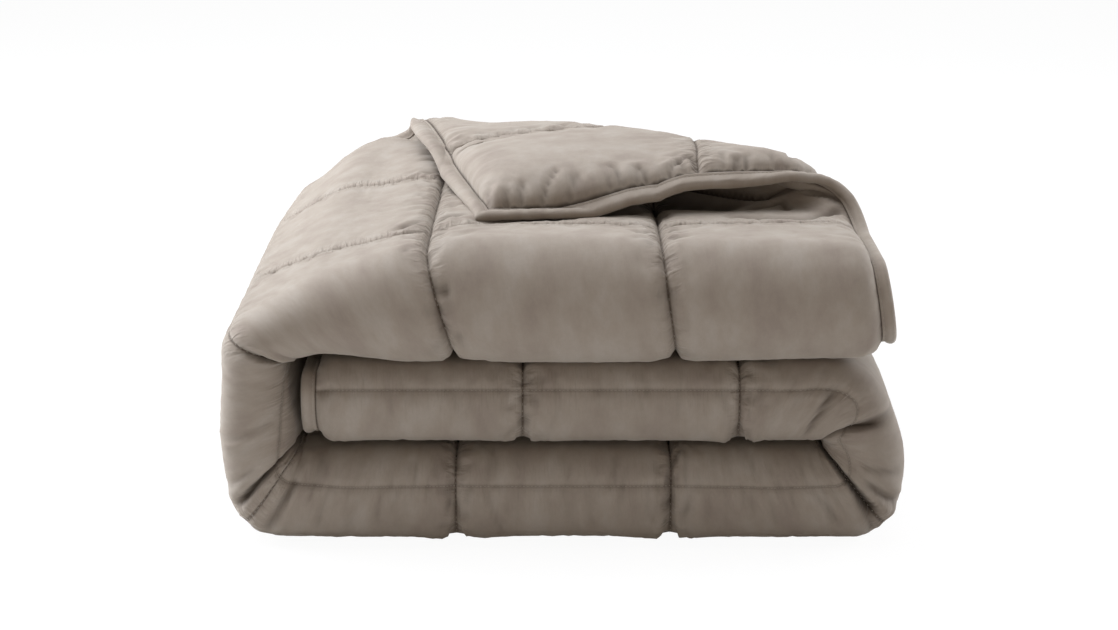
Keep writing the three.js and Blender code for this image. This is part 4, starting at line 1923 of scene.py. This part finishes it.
@dataclass
class Studio:
    """The floor, the soft lights and the camera, in metres."""

    eye: tuple[float, float, float] = (-0.00095, -2.54944, 0.881)
    pitch_down: float = 16.0
    lens: float = 73.64
    sensor: float = 36.0
    see_to: float = 100.0
    # The floor lies a little below what stands on it.
    floor_half: float = 12.0
    floor_drop: float = 0.0005
    # How brightly the surroundings light the duvet, and how bright they look.
    surround: float = 0.175
    backdrop: float = 1.05
    aim: tuple[float, float, float] = (0.0, 0.0, 0.15)
    softboxes: tuple[Softbox, ...] = (
        Softbox("key_softbox", (-1.2, 0.45, 2.4), 2.2, 82.0),
        Softbox("top_softbox", (0.4, 0.1, 2.6), 2.0, 28.0),
        Softbox("left_softbox", (-2.4, 0.75, 0.7), 1.4, 68.0),
        Softbox("right_softbox", (2.4, 0.75, 0.7), 1.4, 47.0),
        Softbox("front_reflector", (0.0, -2.4, 0.6), 1.6, 11.0, "fff0e2"),
    )

    def build(self) -> None:
        """Sets the camera, the floor, the world and the lights."""
        self.set_camera()
        self.lay_floor()
        self.set_world()
        for softbox in self.softboxes:
            softbox.build(Vector(self.aim))
        settings = bpy.context.scene.view_settings
        settings.view_transform, settings.look = "Standard", "None"

    def set_camera(self) -> None:
        """Adds the camera and makes it the scene's own."""
        scene = bpy.context.scene
        camera = bpy.data.objects.new("camera", bpy.data.cameras.new("camera"))
        scene.collection.objects.link(camera)
        camera.location = self.eye
        camera.rotation_euler = (math.radians(90 - self.pitch_down), 0, 0)
        camera.data.lens, camera.data.sensor_width = self.lens, self.sensor
        camera.data.clip_end = self.see_to
        scene.camera = camera

    def lay_floor(self) -> None:
        """Adds the floor."""
        mesh = bpy.data.meshes.new("floor")
        half = self.floor_half
        corners = ((-half, -half), (half, -half), (half, half), (-half, half))
        mesh.from_pydata([(*corner, 0.0) for corner in corners], [], [range(len(corners))])
        mesh.materials.append(PaleFloor().build())
        floor = bpy.data.objects.new("floor", mesh)
        floor.location.z = -self.floor_drop
        bpy.context.scene.collection.objects.link(floor)

    def set_world(self) -> None:
        """Lights the surroundings softly, and shows them white."""
        world = bpy.data.worlds.new("studio")
        bpy.context.scene.world = world
        world.use_nodes = True
        tree = world.node_tree
        tree.nodes.clear()
        soft, white = (
            add_node(
                tree, "ShaderNodeBackground", None, {"Color": colour(tone), "Strength": strength}
            ).outputs["Background"]
            for tone, strength in (("fff9f2", self.surround), ("ffffff", self.backdrop))
        )
        seen = add_node(tree, "ShaderNodeLightPath").outputs["Is Camera Ray"]
        both = add_node(tree, "ShaderNodeMixShader", None, {0: seen, 1: soft, 2: white})
        add_node(tree, "ShaderNodeOutputWorld", None, {"Surface": both.outputs["Shader"]})


def main() -> None:
    """Builds the duvet and its studio."""
    logging.basicConfig(level=logging.INFO, format="%(message)s")
    Studio().build()
    sizes = Sizes()
    plan = FoldPlan(sizes, TurnedCorner())
    cloth = BrushedMicrofibre(
        "quilted_microfibre",
        box_mm=(sizes.box_long, sizes.box_wide),
        middle_mm=(sizes.length / 2, 0.0),
        rim_mm=(sizes.length / 2 - sizes.tape_width, sizes.half_width - sizes.tape_width),
    )
    tape, thread = BrushedMicrofibre(), SewingThread()
    puff = BoxPuff(sizes)
    puff.prepare()
    cover = QuiltedCover(plan, puff, cloth)
    quilt = cover.build()
    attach(quilt, "root")
    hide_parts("quilt")
    LOG.info("quilt: %d faces", len(quilt.data.polygons))
    binding = BindingTape(plan, tape).build()
    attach(binding, "root")
    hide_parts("binding")
    LOG.info("binding: %d faces", len(binding.data.polygons))
    stitching, stitch_plan = Stitching(plan, cover, thread), StitchPlan(sizes)
    for name, slot, rows in (
        ("seam_stitches", "quilt_cover", stitch_plan.seams()),
        ("tape_stitches", "binding_tape", stitch_plan.tape()),
    ):
        piece = stitching.build(name, rows)
        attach(piece, "root")
        LOG.info("%s: %d faces", name, len(piece.data.polygons))


if __name__ == "__main__":
    main()
